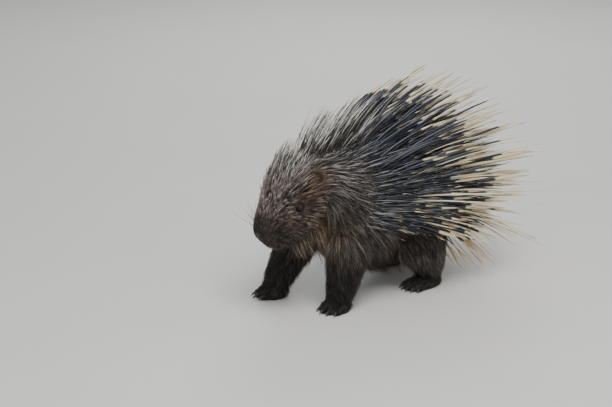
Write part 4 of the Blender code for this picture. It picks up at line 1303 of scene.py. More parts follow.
def sprung(root, normal, direction, length, steps, droop, arch, sink=QUILL_ROOT_DEPTH):
    """Paths that stand off the skin, and arch backwards and down towards their tips."""
    droop, arch = droop + 0 * length, arch + 0 * length
    path = [root - normal * sink]
    for share in np.linspace(0, 1, steps + 1)[1:]:
        bend = np.stack([0 * arch, arch, -droop], -1) * (length * share**2)[:, None]
        path.append(root + direction * (length * share)[:, None] + bend)
    return np.stack(path, 1)


def clumped(path, size, pull):
    """Paths whose tips are drawn to the nearest of a few leaders, and each one's leader."""
    leaders = np.arange(0, len(path), size)
    own = leaders[nearest(path[leaders, 0], path[:, 0])]
    share = np.linspace(0, 1, path.shape[1])[None, :, None] * pull
    offset = (path[:, :1] - path[own][:, :1]) * LEADER_GAP
    return path * (1 - share) + (path[own] + offset) * share, own


print("strands start", ROOT_DEPTH / MM, "to", QUILL_ROOT_DEPTH / MM, "mm inside the skin")

# %% The rings of strands
STRAND_CLEARANCE = 0.0012  # metres over the floor


def strand_points(path, radius, profile, face, sides, flat):
    """Rings round each path and a point at its tip. Profile is the share of the radius at each."""
    count, rings = len(path), path.shape[1] - 1
    path = path.copy()
    path[:, :, 2] = np.maximum(path[:, :, 2], STRAND_CLEARANCE)
    ahead = unit(np.diff(path, axis=1))
    ahead = np.concatenate([ahead[:, :1], unit(ahead[:, 1:] + ahead[:, :-1])], 1)
    across = unit(np.cross(ahead, face_normals[face][:, None, :]))
    upright = np.cross(across, ahead)
    angle = 2 * math.pi * np.arange(sides) / sides
    half = (radius[:, None] * np.asarray(profile)[None, :])[:, :, None, None]
    ring = path[:, :rings, None] + half * (
        across[:, :, None] * np.cos(angle)[None, None, :, None]
        + upright[:, :, None] * np.sin(angle)[None, None, :, None] * flat
    )
    return np.concatenate([ring.reshape(count, -1, 3), path[:, -1:]], 1)


def strand_faces(rings, sides):
    """The triangles of one strand, and the place of their corners round it and along it."""
    triangles, corners = [], []
    for i in range(rings - 1):
        for k in range(sides):
            a, b = i * sides + k, i * sides + (k + 1) % sides
            c, d = a + sides, b + sides
            triangles += [(a, c, b), (b, c, d)]
            corners += [((k, i), (k, i + 1), (k + 1, i)), ((k + 1, i), (k, i + 1), (k + 1, i + 1))]
    last = rings - 1
    for k in range(sides):
        triangles.append((last * sides + k, rings * sides, last * sides + (k + 1) % sides))
        corners.append(((k, last), (k + 0.5, rings), (k + 1, last)))
    for k in range(1, sides - 1):
        triangles.append((0, k, k + 1))
        corners.append(((0, 0), (k, 0), (k + 1, 0)))
    return np.array(triangles), np.array(corners, float) / (sides, rings)


print("a tuft of 3 rings and 3 sides has", len(strand_faces(3, 3)[0]), "triangles")

# %% Strands into one mesh
PATCH = 0.003  # side of a strand's patch on the unwrap
TONE_STEP = 37.0  # moves each strand's streaks to a place of their own


def strands(name, path, radius, profile, face, tint, finish, sides=3, flat=1.0, tone=None):
    """One mesh of closed strands."""
    count, rings = len(path), path.shape[1] - 1
    points = strand_points(path, radius, profile, face, sides, flat)
    triangles, corners = strand_faces(rings, sides)
    index = (triangles[None] + (np.arange(count) * points.shape[1])[:, None, None]).ravel()
    mesh = bpy.data.meshes.new(name)
    mesh.vertices.add(count * points.shape[1])
    mesh.vertices.foreach_set("co", points.ravel())
    mesh.loops.add(len(index))
    mesh.loops.foreach_set("vertex_index", index.astype(np.int32))
    mesh.polygons.add(len(index) // 3)
    mesh.polygons.foreach_set("loop_start", np.arange(0, len(index), 3, dtype=np.int32))
    made = bpy.data.objects.new(name, mesh)
    bpy.context.scene.collection.objects.link(made)
    patch = face_uv[face][:, None, None] + (corners[None] - 0.5) * PATCH
    mesh.uv_layers.new(name="OFBake").data.foreach_set("uv", patch.ravel())
    tone = draw.random(count) if tone is None else tone
    own = corners[None] + np.stack([tone * TONE_STEP, 0 * tone], -1)[:, None, None]
    mesh.uv_layers.new(name="strand").data.foreach_set("uv", own.ravel())
    colours = np.concatenate([np.repeat(tint[:, :rings], sides, 1), tint[:, rings:]], 1)
    mesh.update()
    mesh.validate()
    store(made, "tint", "FLOAT_COLOR", colours.reshape(-1, 3))
    store(made, "tone", "FLOAT", np.repeat(tone, points.shape[1]))
    mesh.materials.append(finish)
    smooth(made)
    print(f"{name}: {count} strands, {len(mesh.polygons)} triangles")
    return made


def tapered(rings, shares, widths):
    """Widths of a strand's rings, where the last ring is followed by the tip."""
    return np.interp(np.linspace(0, 1, rings + 1)[:-1], shares, widths)


def shaded(root_colour, tip_colour, rings, start=0.2, end=0.8):
    """Colours along strands, from a root colour to a tip colour."""
    share = rise(np.linspace(0, 1, rings), start, end)[None, :, None]
    return root_colour[:, None] * (1 - share) + tip_colour[:, None] * share


# %% [markdown]
# ## The coat
# The body is covered with bristles in thin tufts that overlap like thatch. A third to a half of
# them have a pale outer part, which draws fine light lines over dark ones. Tufts near each other
# lean together at their tips, and a slow wave turns them a little from side to side, as on the
# neck of the real animal.

# %% Regions of the coat
RUMP_FROM, FLANK_FROM, HEAD_FROM = 3 * CM, -6.0 * CM, -0.5 * CM
LEG_TOP, FOOT_TOP = 10.5 * CM, 3.2 * CM


def region(points):
    """A piece of the coat for each face: its name, by where the face is."""
    y, z = points[:, 1] - shift[1], points[:, 2]
    from_head = (points - head_axes(HEAD_LENGTH)[0]) @ head_axes(9.0)[3]
    names = np.where(y > RUMP_FROM, "rump", np.where(y > FLANK_FROM, "flank", "shoulder"))
    names = np.where(from_head > HEAD_FROM, "head", names)
    low = (z < LEG_TOP) & (from_head < 0)
    names = np.where(low & (z > FOOT_TOP), "leg", names)
    return np.where(low & (z <= FOOT_TOP), "foot", names)


REGIONS = ("rump", "flank", "shoulder", "head", "leg", "foot")
PALE_SHARE = dict(zip(REGIONS, (0.3, 0.32, 0.34, 0.50, 0.46, 0.32)))
PALE_GAIN = dict(zip(REGIONS, (4.5, 5.0, 5.5, 4.3, 14.0, 8.0)))  # times the skin's colour
DARKNESS = dict(zip(REGIONS, (0.45, 0.40, 0.35, 0.50, 2.1, 1.7)))  # of the others, likewise
HALF_WIDTH = dict(zip(REGIONS, (0.7, 0.62, 0.52, 0.43, 0.58, 0.48)))  # millimetres
DROOP = dict(zip(REGIONS, (0.3, 0.45, 0.35, 0.6, 0.15, 0.0)))
STEPS = dict(zip(REGIONS, (3, 3, 3, 3, 3, 2)))
SLOTS = dict(zip(REGIONS, ("quilled_coat",) * 3 + ("face_coat", "leg_coat", "foot_skin")))
face_region = region(face_points)
print({name: int((face_region == name).sum()) for name in REGIONS}, "faces")

# %% Colours of the tufts
PIECE_LIMIT = 190000  # triangles
SOLE_BARE, BARE_SKIN = 0.25, 0.85
EYE_CLEARING, EYE_SHORTENING, SHORTEST = 0.85, (0.8, 2.6), 0.3  # centimetres and a share
WAVES = ((31.0, 47.0, 58.0), (-73.0, 29.0, 41.0))
WAVE_TURN, LOOSE_TURN = 0.09, 0.10
CLUMP, CLUMP_PULL, CLUMP_SHADE = 8, 0.55, (0.55, 1.45)
DARK_LIMIT, PALE_LIMIT = 0.09, 0.66
TUFT_TAPER = (0, 0.3, 0.7, 1), (0.7, 1.0, 0.85, 0.2)
TUFT_FLATNESS = 0.6  # how deep a tuft is for its width
growing = (face_bare < BARE_SKIN) & (face_points[:, 2] > SOLE_BARE * CM)
coat_pieces = []


def from_eyes(points):
    """Centimetres to the nearer eye."""
    return np.min([np.linalg.norm(points - eyes[s][0], axis=-1) for s in (LEFT, RIGHT)], 0) / CM


def no_brighter(colour, limit):
    """Colours scaled down, each in its own hue, until no part of them is over a limit."""
    return colour * np.minimum(1, limit / colour.max(1, keepdims=True))


def tuft_colours(name, face, leader):
    """Colours along the tufts of a region. Neighbours in a clump share a shade."""
    count = len(face)
    of_clump = draw.uniform(*CLUMP_SHADE, (count, 1))[leader]
    base = no_brighter(face_tint[face], DARK_LIMIT)
    dark = base * DARKNESS[name] * draw.uniform(0.5, 1.5, (count, 1)) * of_clump
    pale = face_tint[face] * PALE_GAIN[name] * draw.uniform(0.6, 1.4, (count, 1)) * of_clump
    pale = no_brighter(pale, PALE_LIMIT)
    is_pale = draw.random((count, 1)) < PALE_SHARE[name] * (0.4 + 0.6 * of_clump)
    is_pale = is_pale.astype(float)
    tip = dark * 1.3 * (1 - is_pale) + pale * is_pale
    return shaded(dark * 0.7, tip, STEPS[name] + 1, 0.15, 0.75)


print("limit of a piece:", PIECE_LIMIT, "triangles")


# %% Bristles and fur
def coat(name):
    """All the tufts of one region, in as many pieces as the limit asks for."""
    root, face = sown((face_region == name) & growing)
    count, steps = len(root), STEPS[name]
    shorter = SHORTEST + (1 - SHORTEST) * rise(from_eyes(root), *EYE_SHORTENING)
    length = face_coat[face, 0] * CM * draw.uniform(0.65, 1.15, count) * shorter
    lift = face_coat[face, 1] * CM * draw.uniform(0.4, 1.08, count) * shorter**1.5
    droop = DROOP[name] * np.clip(0.3 - face_normals[face, 2], 0, 1.3)
    slow = np.sin(root @ np.array(WAVES[0])) + np.sin(root @ np.array(WAVES[1]) + 2)
    sway = WAVE_TURN * slow + draw.normal(0, LOOSE_TURN, count)
    lying = laid(root, face, length, lift, steps, droop, sway)
    path, leader = clumped(lying, CLUMP, CLUMP_PULL)
    tint = tuft_colours(name, face, leader)
    radius = HALF_WIDTH[name] * MM * draw.uniform(0.6, 1.25, count)
    kept = np.flatnonzero(from_eyes(path).min(1) > EYE_CLEARING)
    pieces = math.ceil(len(kept) * len(strand_faces(steps, 3)[0]) / PIECE_LIMIT)
    finish = fur_finish if name == "head" else bristle_finish
    for part in range(pieces):
        own = kept[part::pieces]
        widths = tapered(steps, *TUFT_TAPER)
        made = strands(f"coat_{name}_{part + 1}", path[own], radius[own], widths, face[own],
                       tint[own], finish, flat=TUFT_FLATNESS)
        coat_pieces.append((made, SLOTS[name]))


for name in REGIONS:
    coat(name)
print([(piece.name, len(piece.data.polygons)) for piece, _ in coat_pieces])

# %% [markdown]
# ## The quills
# Long quills stand over the back in a fan: steep behind the shoulders, level over the rump, and
# turned outwards on the flanks. The same tables as the solids' set their length and rise. The
# long ones stand closer here than the solids' spines, and slate ones, silver bristles, thin
# whips that droop and short pale-tipped quills fill the gaps between them. The slate ones' blue
# is a painted sky sheen, and the silver bristles' pale outer part is partly their own pale tips
# and partly a painted silver sheen.

# %% Tables of the quills
QUILL_Y = (-4.0, 0.0, 5.0, 10.0, 15.0, 20.0)
QUILL_LENGTH = (18.0, 20.5, 21.0, 21.0, 21.0, 20.5)
QUILL_RISE = (66.0, 64.0, 55.0, 40.0, 23.0, 5.0)
QUILL_ANGLE = (0.0, 45.0, 80.0, 110.0, 140.0)
QUILL_SHARE = (1.0, 1.0, 0.85, 0.62, 0.5)
QUILL_RISE_SHARE = (1.0, 0.75, 0.2, 0.0, 0.0)
QUILL_RISE_ADDED = (0.0, 0.0, -2.0, -20.0, -34.0)
QUILL_TURN = (0.0, 20.0, 30.0, 30.0, 24.0)
QUILL_DROOP, QUILL_DROOP_RAISED, QUILL_ARCH_RAISED = 0.04, 0.30, 0.40
LEAST_LIFT = 0.22  # how far every quill points away from the skin
FEW_LONG, PALE_TIPS = 1.5, 0.45  # a power over 1 makes long quills rare; share with pale tips
QUILL_PROFILE = (0.5, 0.85, 1.0, 1.08, 1.12, 1.14, 1.12, 1.0, 0.66)
SLATE = (0.020, 0.021, 0.027)
BOX_MARGIN = 0.008  # metres that a quill may pass the solids' box
PROBE, PROBE_ANGLE = 0.01, 0.8  # a step to measure by, and the angle at which it is taken
ROW_STEP, ROW_START, STAGGER, LEAST_STEP = 0.87, 0.25, 0.5, 0.004


def rows_of_roots(surface, first, last, lowest, highest, spacing, jitter=0.3):
    """Staggered rows of places on a surface, about evenly spaced along and round it."""
    stations, angles, t, row = [], [], first, 0
    while t < last:
        pair = surface(np.array([t, t + PROBE]), np.full(2, PROBE_ANGLE))
        round_it = surface(np.array([t, t]), np.array([PROBE_ANGLE - PROBE, PROBE_ANGLE]))
        girth = np.linalg.norm(np.diff(round_it, axis=0)) / PROBE
        count = max(int((highest - lowest) * girth / (spacing * CM)), 1)
        moved = draw.uniform(-jitter, jitter, count)
        share = (np.arange(count) + STAGGER * (row % 2) + ROW_START + moved) / count
        angles.append(lowest + share * (highest - lowest))
        stations.append(t + draw.uniform(-jitter, jitter, count) * 0.4)
        per_station = np.linalg.norm(pair[1] - pair[0]) / PROBE
        t += spacing * ROW_STEP * CM / max(per_station, LEAST_STEP)
        row += 1
    return np.concatenate(stations), np.concatenate(angles)


def both_sides(surface, stations, angles, spacing):
    """Roots between two stations and two angles, mirrored where the angles are of one side."""
    station, angle = rows_of_roots(surface, *stations, *angles, spacing)
    if angles[0] > 0:
        again, other = rows_of_roots(surface, *stations, *angles, spacing)
        station, angle = np.concatenate([station, again]), np.concatenate([angle, -other])
    return station, angle


def heading(rise_degrees, turn_degrees):
    """Directions that rise from the floor and turn outwards from straight back."""
    rising, turn = np.radians(rise_degrees), np.radians(turn_degrees)
    level = np.cos(rising)
    return np.stack([np.sin(turn) * level, np.cos(turn) * level, np.sin(rising)], -1)


def kept_in_box(path):
    """Paths drawn in towards their roots where they would leave the solids' box."""
    low, high = (np.array(corner) for corner in solids_box)
    root, reach = path[:, 1:2], path - path[:, 1:2]
    over = (path - high - BOX_MARGIN) / np.maximum(reach, 1e-6) * (path > high + BOX_MARGIN)
    under = (low - BOX_MARGIN - path) / np.maximum(-reach, 1e-6) * (path < low - BOX_MARGIN)
    share = 1 - np.clip(np.maximum(over, under).max((1, 2)), 0, 0.9)
    return np.concatenate([path[:, :1], root + (path[:, 1:] - root) * share[:, None, None]], 1)


print("a quill of the mid back is", QUILL_LENGTH[2], "cm long and rises", QUILL_RISE[2], "degrees")


# %% Quills of one kind
def quill_paths(station, angle, stretch, steps, spread, leaning, more_droop):
    """Paths of quills rooted at stations and angles of the trunk."""
    root, normal, face = snapped(trunk(station, angle))
    y, degrees = (root[:, 1] - shift[1]) / CM, np.abs(np.degrees(angle))
    lean = np.interp(y, QUILL_Y, QUILL_RISE) * np.interp(degrees, QUILL_ANGLE, QUILL_RISE_SHARE)
    lean = (lean + np.interp(degrees, QUILL_ANGLE, QUILL_RISE_ADDED)) * leaning[0] + leaning[1]
    lean = lean + draw.uniform(-spread, spread, len(y))
    turn = np.interp(degrees, QUILL_ANGLE, QUILL_TURN) * np.sign(angle)
    turn = turn + draw.uniform(-spread, spread, len(y))
    length = np.interp(y, QUILL_Y, QUILL_LENGTH) * np.interp(degrees, QUILL_ANGLE, QUILL_SHARE) * CM
    length = length * stretch + TRUNK_INSET * CM
    direction = heading(lean, turn)
    lift = np.sum(direction * normal, -1)
    direction = unit(direction + normal * np.maximum(LEAST_LIFT - lift, 0)[:, None])
    raised = np.maximum(direction[:, 2], 0)
    droop = QUILL_DROOP + QUILL_DROOP_RAISED * raised + more_droop
    path = sprung(root, normal, direction, length, steps, droop, QUILL_ARCH_RAISED * raised)
    return kept_in_box(path), face


def quills(name, stations, angles, spacing, stretch, half_width, tones, finish, rings=9, sides=6,
           spread=6.0, lean_share=1.0, lean_added=0.0, more_droop=0.0, darker=0.0, pale=None):
    """One kind of quill, between two stations and two angles, a spacing in centimetres apart."""
    station, angle = both_sides(trunk, stations, angles, spacing)
    count = len(station)
    longer = stretch[0] + (stretch[1] - stretch[0]) * draw.random(count) ** FEW_LONG
    leaning = (lean_share, lean_added)
    path, face = quill_paths(station, angle, longer, rings, spread, leaning, more_droop)
    along = np.linspace(0, 1, len(QUILL_PROFILE))
    profile = np.interp(np.linspace(0, 1, rings), along, QUILL_PROFILE)
    radius = half_width * MM * draw.uniform(0.75, 1.15, count)
    tint = np.tile(SLATE, (count, rings + 1, 1))
    # Pale outer parts: partly the strands' own pale tips, partly a painted silver sheen.
    if pale:
        share = (draw.random((count, 1)) < PALE_TIPS) * draw.uniform(0.5, 1.0, (count, 1))
        tip = tint[:, 0] * (1 - share) + np.array(pale) * share
        tint = shaded(tint[:, 0], tip, rings + 1, 0.2, 0.6)
    tone = draw.uniform(*tones, count) + darker * np.abs(angle) / angles[1]
    made = strands("quills_" + name, path, radius, profile, face, tint, finish, sides, tone=tone)
    coat_pieces.append((made, "quilled_coat"))


# %% Quills of the back
# Stations, angles, spacing, stretch, half width in millimetres, tones and finish.
quills("long", (0.45, 4.5), (-2.0, 2.0), 2.0, (0.62, 1.10), 2.8, (0.0, 0.35), quill_horn,
       sides=7, darker=0.25)
quills("mantle", (4.0, 6.3), (-1.2, 1.2), 1.7, (0.75, 1.12), 2.2, (0.40, 0.85), quill_horn,
       darker=0.3)
quills("slate", (1.5, 6.4), (-1.95, 1.95), 1.0, (0.42, 0.80), 1.1, (0.82, 1.06), quill_horn,
       rings=6, sides=5, spread=8.0, lean_share=0.85)
# Silver bristles: the pale outer part is partly their own pale tips and partly a painted silver
# sheen.
quills("silver", (3.8, 7.4), (-1.95, 1.95), 0.66, (0.34, 0.62), 0.6, (0.0, 1.0), bristle_finish,
       rings=5, sides=4, spread=9.0, lean_share=0.62, pale=(0.50, 0.50, 0.49))
quills("short", (0.6, 5.6), (-1.95, 1.95), 1.9, (0.32, 0.60), 1.5, (0.2, 0.8), quill_horn,
       rings=5, sides=5, spread=9.0)
quills("flank", (0.8, 5.0), (1.0, 2.1), 3.2, (0.9, 1.4), 1.3, (0.0, 1.0), pale_quill_horn,
       sides=5, spread=9.0)
quills("whip", (0.5, 5.0), (-1.7, 1.7), 5.2, (1.05, 1.3), 1.2, (0.0, 1.0), pale_quill_horn,
       sides=5, more_droop=0.1)
quills("rump", (0.3, 2.6), (1.6, 2.6), 1.35, (1.0, 1.7), 1.5, (0.0, 0.9), ochre_quill_horn,
       rings=7, sides=5, spread=10.0, lean_added=-12.0, more_droop=0.1)
print([(piece.name, len(piece.data.polygons)) for piece, _ in coat_pieces[-8:]])

# %% [markdown]
# The crest is a loose fan of long pale bristles from the crown to the shoulders. They are dark
# near their roots and lean back in an even arch, and two in five stay dark to their tips. A fringe
# of shorter golden ones hangs from the jaws and sweeps back.

# %% Crest and beard
DARK_SHARE, DARK_SHADE, PALE_SHADES = 0.4, 0.1, (0.55, 1.0)
BRISTLE_DARK, BRISTLE_RINGS = (0.030, 0.025, 0.022), 6
BRISTLE_TAPER = (0, 0.3, 0.8, 1), (0.8, 1.0, 0.7, 0.3)
SCATTER_LEAN, SCATTER_TURN, SCATTER_ARCH = 10, 12, 0.1


def bristles(name, surface, stations, angles, spacing, lean, turn, length, half_width, pale, slot,
             droop, arch):
    """Long bristles that lean and turn by degrees. Turn is per degree where they span the back."""
    station, angle = both_sides(surface, stations, angles, spacing)
    root, normal, face = snapped(surface(station, angle))
    count, rings = len(root), BRISTLE_RINGS
    turned = turn * np.sign(angle) if angles[0] > 0 else turn * np.degrees(angle)
    leaning = lean + draw.uniform(-SCATTER_LEAN, SCATTER_LEAN, count)
    turned = turned + draw.uniform(-SCATTER_TURN, SCATTER_TURN, count)
    reach = length * CM * draw.uniform(0.55, 1.12, count)
    arch = arch + SCATTER_ARCH * draw.random(count)
    path = sprung(root, normal, heading(leaning, turned), reach, rings, droop, arch)
    shade = draw.uniform(*PALE_SHADES, (count, 1))
    shade = shade * np.where(draw.random((count, 1)) < DARK_SHARE, DARK_SHADE, 1.0)
    dark = np.tile(BRISTLE_DARK, (count, 1))
    tint = shaded(dark, np.array(pale) * shade, rings + 1, 0.3, 0.75)
    radius = half_width * MM * draw.uniform(0.6, 1.2, count)
    made = strands(name, kept_in_box(path), radius, tapered(rings, *BRISTLE_TAPER), face, tint,
                   bristle_finish, sides=4)
    coat_pieces.append((made, slot))


CREST_TIP, BEARD_GOLD = (0.84, 0.80, 0.72), (0.42, 0.31, 0.19)
CREST_LOOKS = (0.8, CREST_TIP, "crest_coat", 0.16, 0.22)
BEARD_LOOKS = (0.45, BEARD_GOLD, "face_coat", 0.14, 0.1)
# Stations, angles, spacing, lean, turn and length.
bristles("crest_shoulders", trunk, (5.6, 7.3), (-0.5, 0.5), 0.68, 62, 0.5, 12.5, *CREST_LOOKS)
bristles("crest_neck", trunk, (7.2, 8.9), (-0.42, 0.42), 0.62, 72, 0.5, 11.5, *CREST_LOOKS)
bristles("crest_crown", head, (8.0, 13.6), (-0.8, 0.8), 0.6, 86, 0.5, 7.0, *CREST_LOOKS)
bristles("beard", head, (3.4, 11.8), (2.15, 2.95), 0.56, -50, 105, 4.8, *BEARD_LOOKS)
print([(piece.name, len(piece.data.polygons)) for piece, _ in coat_pieces[-4:]])

# %% [markdown]
# ## Eyes
# An eyeball is a ball with a slightly bulged cornea. The sphere's rings are turned to face the
# gaze, the front is pushed out a little, and a wet clear layer in its finish gives the glint.

# %% Eyeballs
CORNEA_RISE, CORNEA_EDGE, EYE_SEGMENTS = 0.0006, 0.72, 48
eye_pieces = []
for side, word in ((LEFT, "left"), (RIGHT, "right")):
    centre, normal = eyes[side]
    turned = Vector(normal).to_track_quat("Z", "Y").to_matrix()
    eyeball = ball("eyeball_" + word, centre, (EYE_RADIUS * CM,) * 3, turned, EYE_SEGMENTS)
    points = points_of(eyeball)
    facing = unit(points - centre) @ normal
    points += normal * (rise(facing, CORNEA_EDGE, 1.0) * CORNEA_RISE)[:, None]
    put_points(eyeball, points)
    eyeball.data.materials.append(eye_finish(centre, normal))
    smooth(eyeball)
    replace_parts(eyeball, "eye_" + word)
    eye_pieces.append(eyeball)
print("eyeballs of", 2 * EYE_RADIUS, "cm")

# %% [markdown]
# ## Ears
# The ear is a low rounded cup that opens to the front and side, with a rolled rim. A grid is
# bent into half a bowl, and Solidify and Subdivision Surface give it its thin wall.

# %% Ear cups
EAR_HALF_WIDTH, EAR_HALF_LENGTH, EAR_DEPTH = 1.35, 1.95, 0.62 * 1.3
EAR_TIP, EAR_OPENS = (0.55, 0.35, 0.75), (0.72, -0.68, -0.1)  # on the left side
EAR_CUTS, EAR_WALL, NARROWING, CUP_ROUNDNESS = 18, 0.0014, 0.16, 2.4
RIM_ROLL, FOLD_HEIGHT, LOBE_WAVE, LOBE_STRETCH = 0.12, 0.07, 0.10, 0.05


def ear_frame(side):
    """The foot of an ear, and its directions: across, through its cup, and towards its tip."""
    foot = head(np.array([EAR_STATION]), np.array([math.radians(EAR_ANGLE) * side]))[0]
    tip = unit(np.array(EAR_TIP) * (side, 1, 1))
    facing = np.array(EAR_OPENS) * (side, 1, 1)
    facing = unit(facing - tip * (facing @ tip))
    return foot, np.cross(facing, tip), facing, tip


def ear_cup(side, word):
    """A disc bent into a bowl with a rolled rim, a fold inside and a lobe on its outer edge."""
    foot, across, facing, tip = ear_frame(side)
    bpy.ops.mesh.primitive_grid_add(x_subdivisions=EAR_CUTS, y_subdivisions=EAR_CUTS, size=2.0)
    cup = bpy.context.object
    cup.name = "ear_cup_" + word
    flat = points_of(cup)
    u, v = flat[:, 0], flat[:, 1]
    disc_u, disc_v = u * np.sqrt(1 - v**2 / 2), v * np.sqrt(1 - u**2 / 2)
    away = np.hypot(disc_u, disc_v)
    width = EAR_HALF_WIDTH * (1 - NARROWING * disc_v) * disc_u
    height = EAR_HALF_LENGTH * (disc_v + 0.5)
    depth = -EAR_DEPTH * (1 - away**CUP_ROUNDNESS) + RIM_ROLL * rise(away, 0.8, 1.0)
    depth = depth + FOLD_HEIGHT * hill(disc_u, 0.35, 0.12) * hill(disc_v, 0.0, 0.45)
    lobe = LOBE_WAVE * np.sin(disc_v * 5 + 1.0) * rise(away, 0.6, 1.0) * (disc_u * side > 0)
    height, depth = height + LOBE_STRETCH * lobe, depth + lobe
    bent = width[:, None] * across + height[:, None] * tip + depth[:, None] * facing
    put_points(cup, foot + bent * CM)
    apply_modifier(cup, "SOLIDIFY", thickness=EAR_WALL, offset=0.0)
    apply_modifier(cup, "SUBSURF", levels=1, render_levels=1)
    turn_outwards(cup)
    smooth(cup)
    cup.data.materials.append(ear_skin)
    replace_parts(cup, "ear_" + word)
    return cup


SIDES = ((LEFT, "left"), (RIGHT, "right"))
ear_pieces = [ear_cup(side, word) for side, word in SIDES]
print("ear cups are", 2 * EAR_HALF_LENGTH, "cm long")

# %% Hairs on the ears
EAR_HAIRS, EAR_HAIR_HALF_WIDTH, EAR_HAIR_DEPTH = 3200, 0.26, 0.0008
RIM_HAIR, BACK_HAIR = (0.25, 0.18, 0.12), (0.10, 0.066, 0.048)
EAR_HAIR_LENGTH, RIM_HAIR_LONGER, EAR_HAIR_BEND = 0.6, 0.7, 0.1


def ear_hairs(cup, side, word):
    """Fine pale hairs along the rim and thin brown ones on the back of the cup."""
    foot, across, facing, tip = ear_frame(side)
    middles = read(cup.data.polygons, "center", 3)
    chosen = draw.integers(0, len(middles), EAR_HAIRS)
    root = middles[chosen]
    away = (root - foot) / CM
    u, v = away @ across / EAR_HALF_WIDTH, away @ tip / EAR_HALF_LENGTH - 0.5
    rim = rise(np.hypot(u, v), 0.82, 1.0)
    outside = np.array([p.normal for p in cup.data.polygons])[chosen]
    keep = (rim > 0.3) | (outside @ facing < 0)
    root, rim, outside, u, v = (a[keep] for a in (root, rim, outside, u, v))
    count = len(root)
    radial = unit(u[:, None] * across + (v[:, None] + 0.35) * tip)
    direction = unit(radial * 0.9 + outside * 0.35 + draw.normal(0, 0.14, (count, 3)))
    length = (EAR_HAIR_LENGTH + RIM_HAIR_LONGER * rim) * CM * draw.uniform(0.6, 1.2, count)
    bend = (EAR_HAIR_BEND, EAR_HAIR_BEND, EAR_HAIR_DEPTH)
    path = sprung(root, outside, direction, length, 2, *bend)
    colour = np.where(rim[:, None] > 0.5, RIM_HAIR, BACK_HAIR)
    colour = colour * draw.uniform(0.4, 1.3, (count, 1))
    _, _, face = snapped(root)
    radius = EAR_HAIR_HALF_WIDTH * MM * draw.uniform(0.7, 1.2, count)
    tint = shaded(colour * 0.6, colour, 3)
    made = strands("ear_hairs_" + word, path, radius, (0.9, 0.7), face, tint, fur_finish)
    coat_pieces.append((made, "ear_skin"))


for cup, (side, word) in zip(ear_pieces, SIDES):
    ear_hairs(cup, side, word)
print("two ears with hair")

# %% [markdown]
# ## Claws
# Each claw is a curved blade of horn, deeper than it is wide, that grows out of its toe and
# comes down to the floor. A tube of shrinking rings is bridged along the curve.


# %% Claws
CLAW_ROOT, CLAW_RINGS, CLAW_SIDES, CLAW_NARROWNESS = 0.0025, 11, 12, 0.72
CLAW_SIZES = (0, 1, 2.5, 3.5, 4), (3.2, 3.3, 2.6, 1.5, 0.5)  # places along it and half depths
CLAW_TIP_HEIGHT, CLAW_LEAST_HEIGHT, CLAW_CLEARANCE = 0.0014, 0.0028, 0.0005
CLAW_REACH = 1.12  # of the claw's length, from the toe to the tip


def claw_path(start, end):
    """Points along a claw, which leaves its toe, arches and comes down to the floor."""
    ahead = unit(end - start)
    flat = unit(np.array([ahead[0], ahead[1], 0.0]))
    root, reach = end - ahead * CLAW_ROOT, CLAW_LENGTH * CM
    path = np.array([
        root,
        root + ahead * reach * 0.25 + (0, 0, 0.0010),
        root + flat * reach * 0.55 + (0, 0, 0.0003),
        root + flat * reach * 0.85 + (0, 0, -0.0012),
        root + flat * (reach * CLAW_REACH),
    ])
    path[-1, 2], path[-2, 2] = CLAW_TIP_HEIGHT, max(path[-2, 2], CLAW_LEAST_HEIGHT)
    return path, flat


def claw(name, start, end):
    """A tube of shrinking rings along the path, with a map for the growth lines."""
    path, flat = claw_path(start, end)
    share = np.linspace(0, 4, CLAW_RINGS)
    line = rows_at(path, share)
    size = np.interp(share, *CLAW_SIZES) * MM
    across = np.cross(flat, (0, 0, 1.0))
    heading_at = unit(np.gradient(line, axis=0))
    turn = 2 * math.pi * np.arange(CLAW_SIDES) / CLAW_SIDES
    sideways, upright = np.cos(turn)[:, None], np.sin(turn)[:, None]
    rings = [p + across * s * CLAW_NARROWNESS * sideways + np.cross(across, d) * s * upright
             for p, s, d in zip(line, size, heading_at)]
    for ring in rings:
        ring[:, 2] = np.maximum(ring[:, 2], CLAW_CLEARANCE)
    made = tube(name + "_horn", rings)
    along = (points_of(made) - line[0]) @ flat / (CLAW_LENGTH * CM)
    spin = (points_of(made) - line[0]) @ across / 0.003
    corners = read(made.data.loops, "vertex_index", kind=int)
    layer = made.data.uv_layers.new(name="strand")
    layer.data.foreach_set("uv", np.stack([spin, along], -1)[corners].ravel())
    smooth(made)
    made.data.materials.append(claw_horn)
    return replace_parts(made, name)


claws = [
    claw(f"claw_{name}_{number}", start, end)
    for name in FEET for number, (start, end) in enumerate(toe_places(name), 1)
]
print(len(claws), "claws")

# %% [markdown]
# ## Tail and whiskers
# The short tail ends in a bunch of hollow pale quills on thin stalks. Whiskers are long dark
# bristles in rows on the muzzle, swept back.

# %% Quills of the tail
RATTLES, RATTLE_HALF_WIDTH, RATTLE_LENGTH = 26, 2.1, (0.03, 0.046)
RATTLE_PROFILE = (0.4, 0.5, 0.55, 0.8, 1.0, 1.0, 1.0, 0.9)
RATTLE_PLACE, RATTLE_SPREAD = (25.0, 9.2), 0.9  # y and z of the tail's end
turn = draw.uniform(0, 2 * math.pi, RATTLES)
spread = draw.uniform(0.15, 0.95, RATTLES)
sideways, upright, level = np.sin(turn), np.cos(turn), 0 * turn
y, z = RATTLE_PLACE
root = np.stack([
    RATTLE_SPREAD * spread * sideways, y + level, z + RATTLE_SPREAD * spread * upright
], -1) * CM + shift
direction = unit(np.stack([
    0.4 * sideways * spread, 1.0 + level, -0.42 + 0.3 * upright * spread
], -1))
_, _, face = snapped(root)
path = sprung(root, direction, direction, draw.uniform(*RATTLE_LENGTH, RATTLES), 8, 0.1, 0, 0.004)
radius = RATTLE_HALF_WIDTH * MM * draw.uniform(0.8, 1.15, RATTLES)
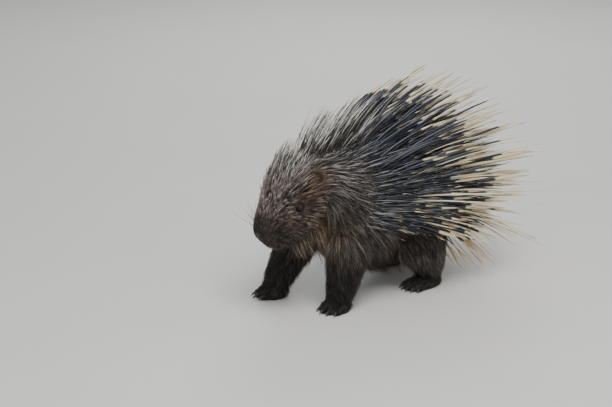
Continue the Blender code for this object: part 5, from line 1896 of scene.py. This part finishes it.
tail_quills = strands("tail_rattle", path, radius, RATTLE_PROFILE, face, np.full(path.shape, 0.05),
                      pale_quill_horn, sides=8)
coat_pieces.append((tail_quills, "tail_quills"))
print(RATTLES, "hollow quills on the tail")

# %% Whiskers
WHISKERS, WHISKER_LENGTH, WHISKER_HALF_WIDTH = 32, (4.0, 11.0), 0.42
WHISKER_STATIONS, WHISKER_DEGREES = (1.3, 3.6), (66, 112)
WHISKER_COLOUR, WHISKER_PROFILE = (0.02, 0.016, 0.014), (1, 1, 0.9, 0.75, 0.55, 0.35)
WHISKER_DROOP, WHISKER_ARCH, WHISKER_DEPTH = 0.22, 0.18, 0.002
side = np.repeat([LEFT, RIGHT], WHISKERS)
station = draw.uniform(*WHISKER_STATIONS, 2 * WHISKERS)
degrees = draw.uniform(*WHISKER_DEGREES, 2 * WHISKERS)
place, normal, along, around = frames_of(head, station, np.radians(degrees) * side)
root, _, face = snapped(place)
direction = normal * 0.9 + along * 0.55 + around * (0.15 * side)[:, None]
direction = unit(direction + draw.normal(0, 0.12, (2 * WHISKERS, 3)))
length = draw.uniform(*WHISKER_LENGTH, 2 * WHISKERS) * CM
path = sprung(root, normal, direction, length, 6, WHISKER_DROOP, WHISKER_ARCH, WHISKER_DEPTH)
colour = np.tile(WHISKER_COLOUR, (2 * WHISKERS, 1))
radius = WHISKER_HALF_WIDTH * MM + 0 * length
whiskers = strands("whiskers", kept_in_box(path), radius, WHISKER_PROFILE, face,
                   shaded(colour, colour * 2, 7), bristle_finish)
coat_pieces.append((whiskers, "face_coat"))
print(2 * WHISKERS, "whiskers")

# %% [markdown]
# ## Hand over to the frame
# The skin stands for every solid of flesh, whose own spines and locks are replaced by the strands
# that grow from it. Every piece rides on the one body, since nothing moves.

# %% Ride and sizes
FLESH = ["torso", "neck", "head", "tail"] + ["leg_" + name for name in LEGS]
FLESH += ["foot_" + name for name in FEET]
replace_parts(skin, *FLESH)
for piece, slot in [(skin, "quilled_coat")] + coat_pieces:
    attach(piece, "root")
for pieces, slot in ((eye_pieces, "eye"), (ear_pieces, "ear_skin"), (claws, "claw_horn")):
    for piece in pieces:
        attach(piece, "root")
bpy.context.view_layer.update()
triangles = {o.name: sum(len(p.vertices) - 2 for p in o.data.polygons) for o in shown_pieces()}
largest = max(triangles, key=triangles.get)
print("triangles in all:", sum(triangles.values()), "of them", triangles[largest], "in", largest)
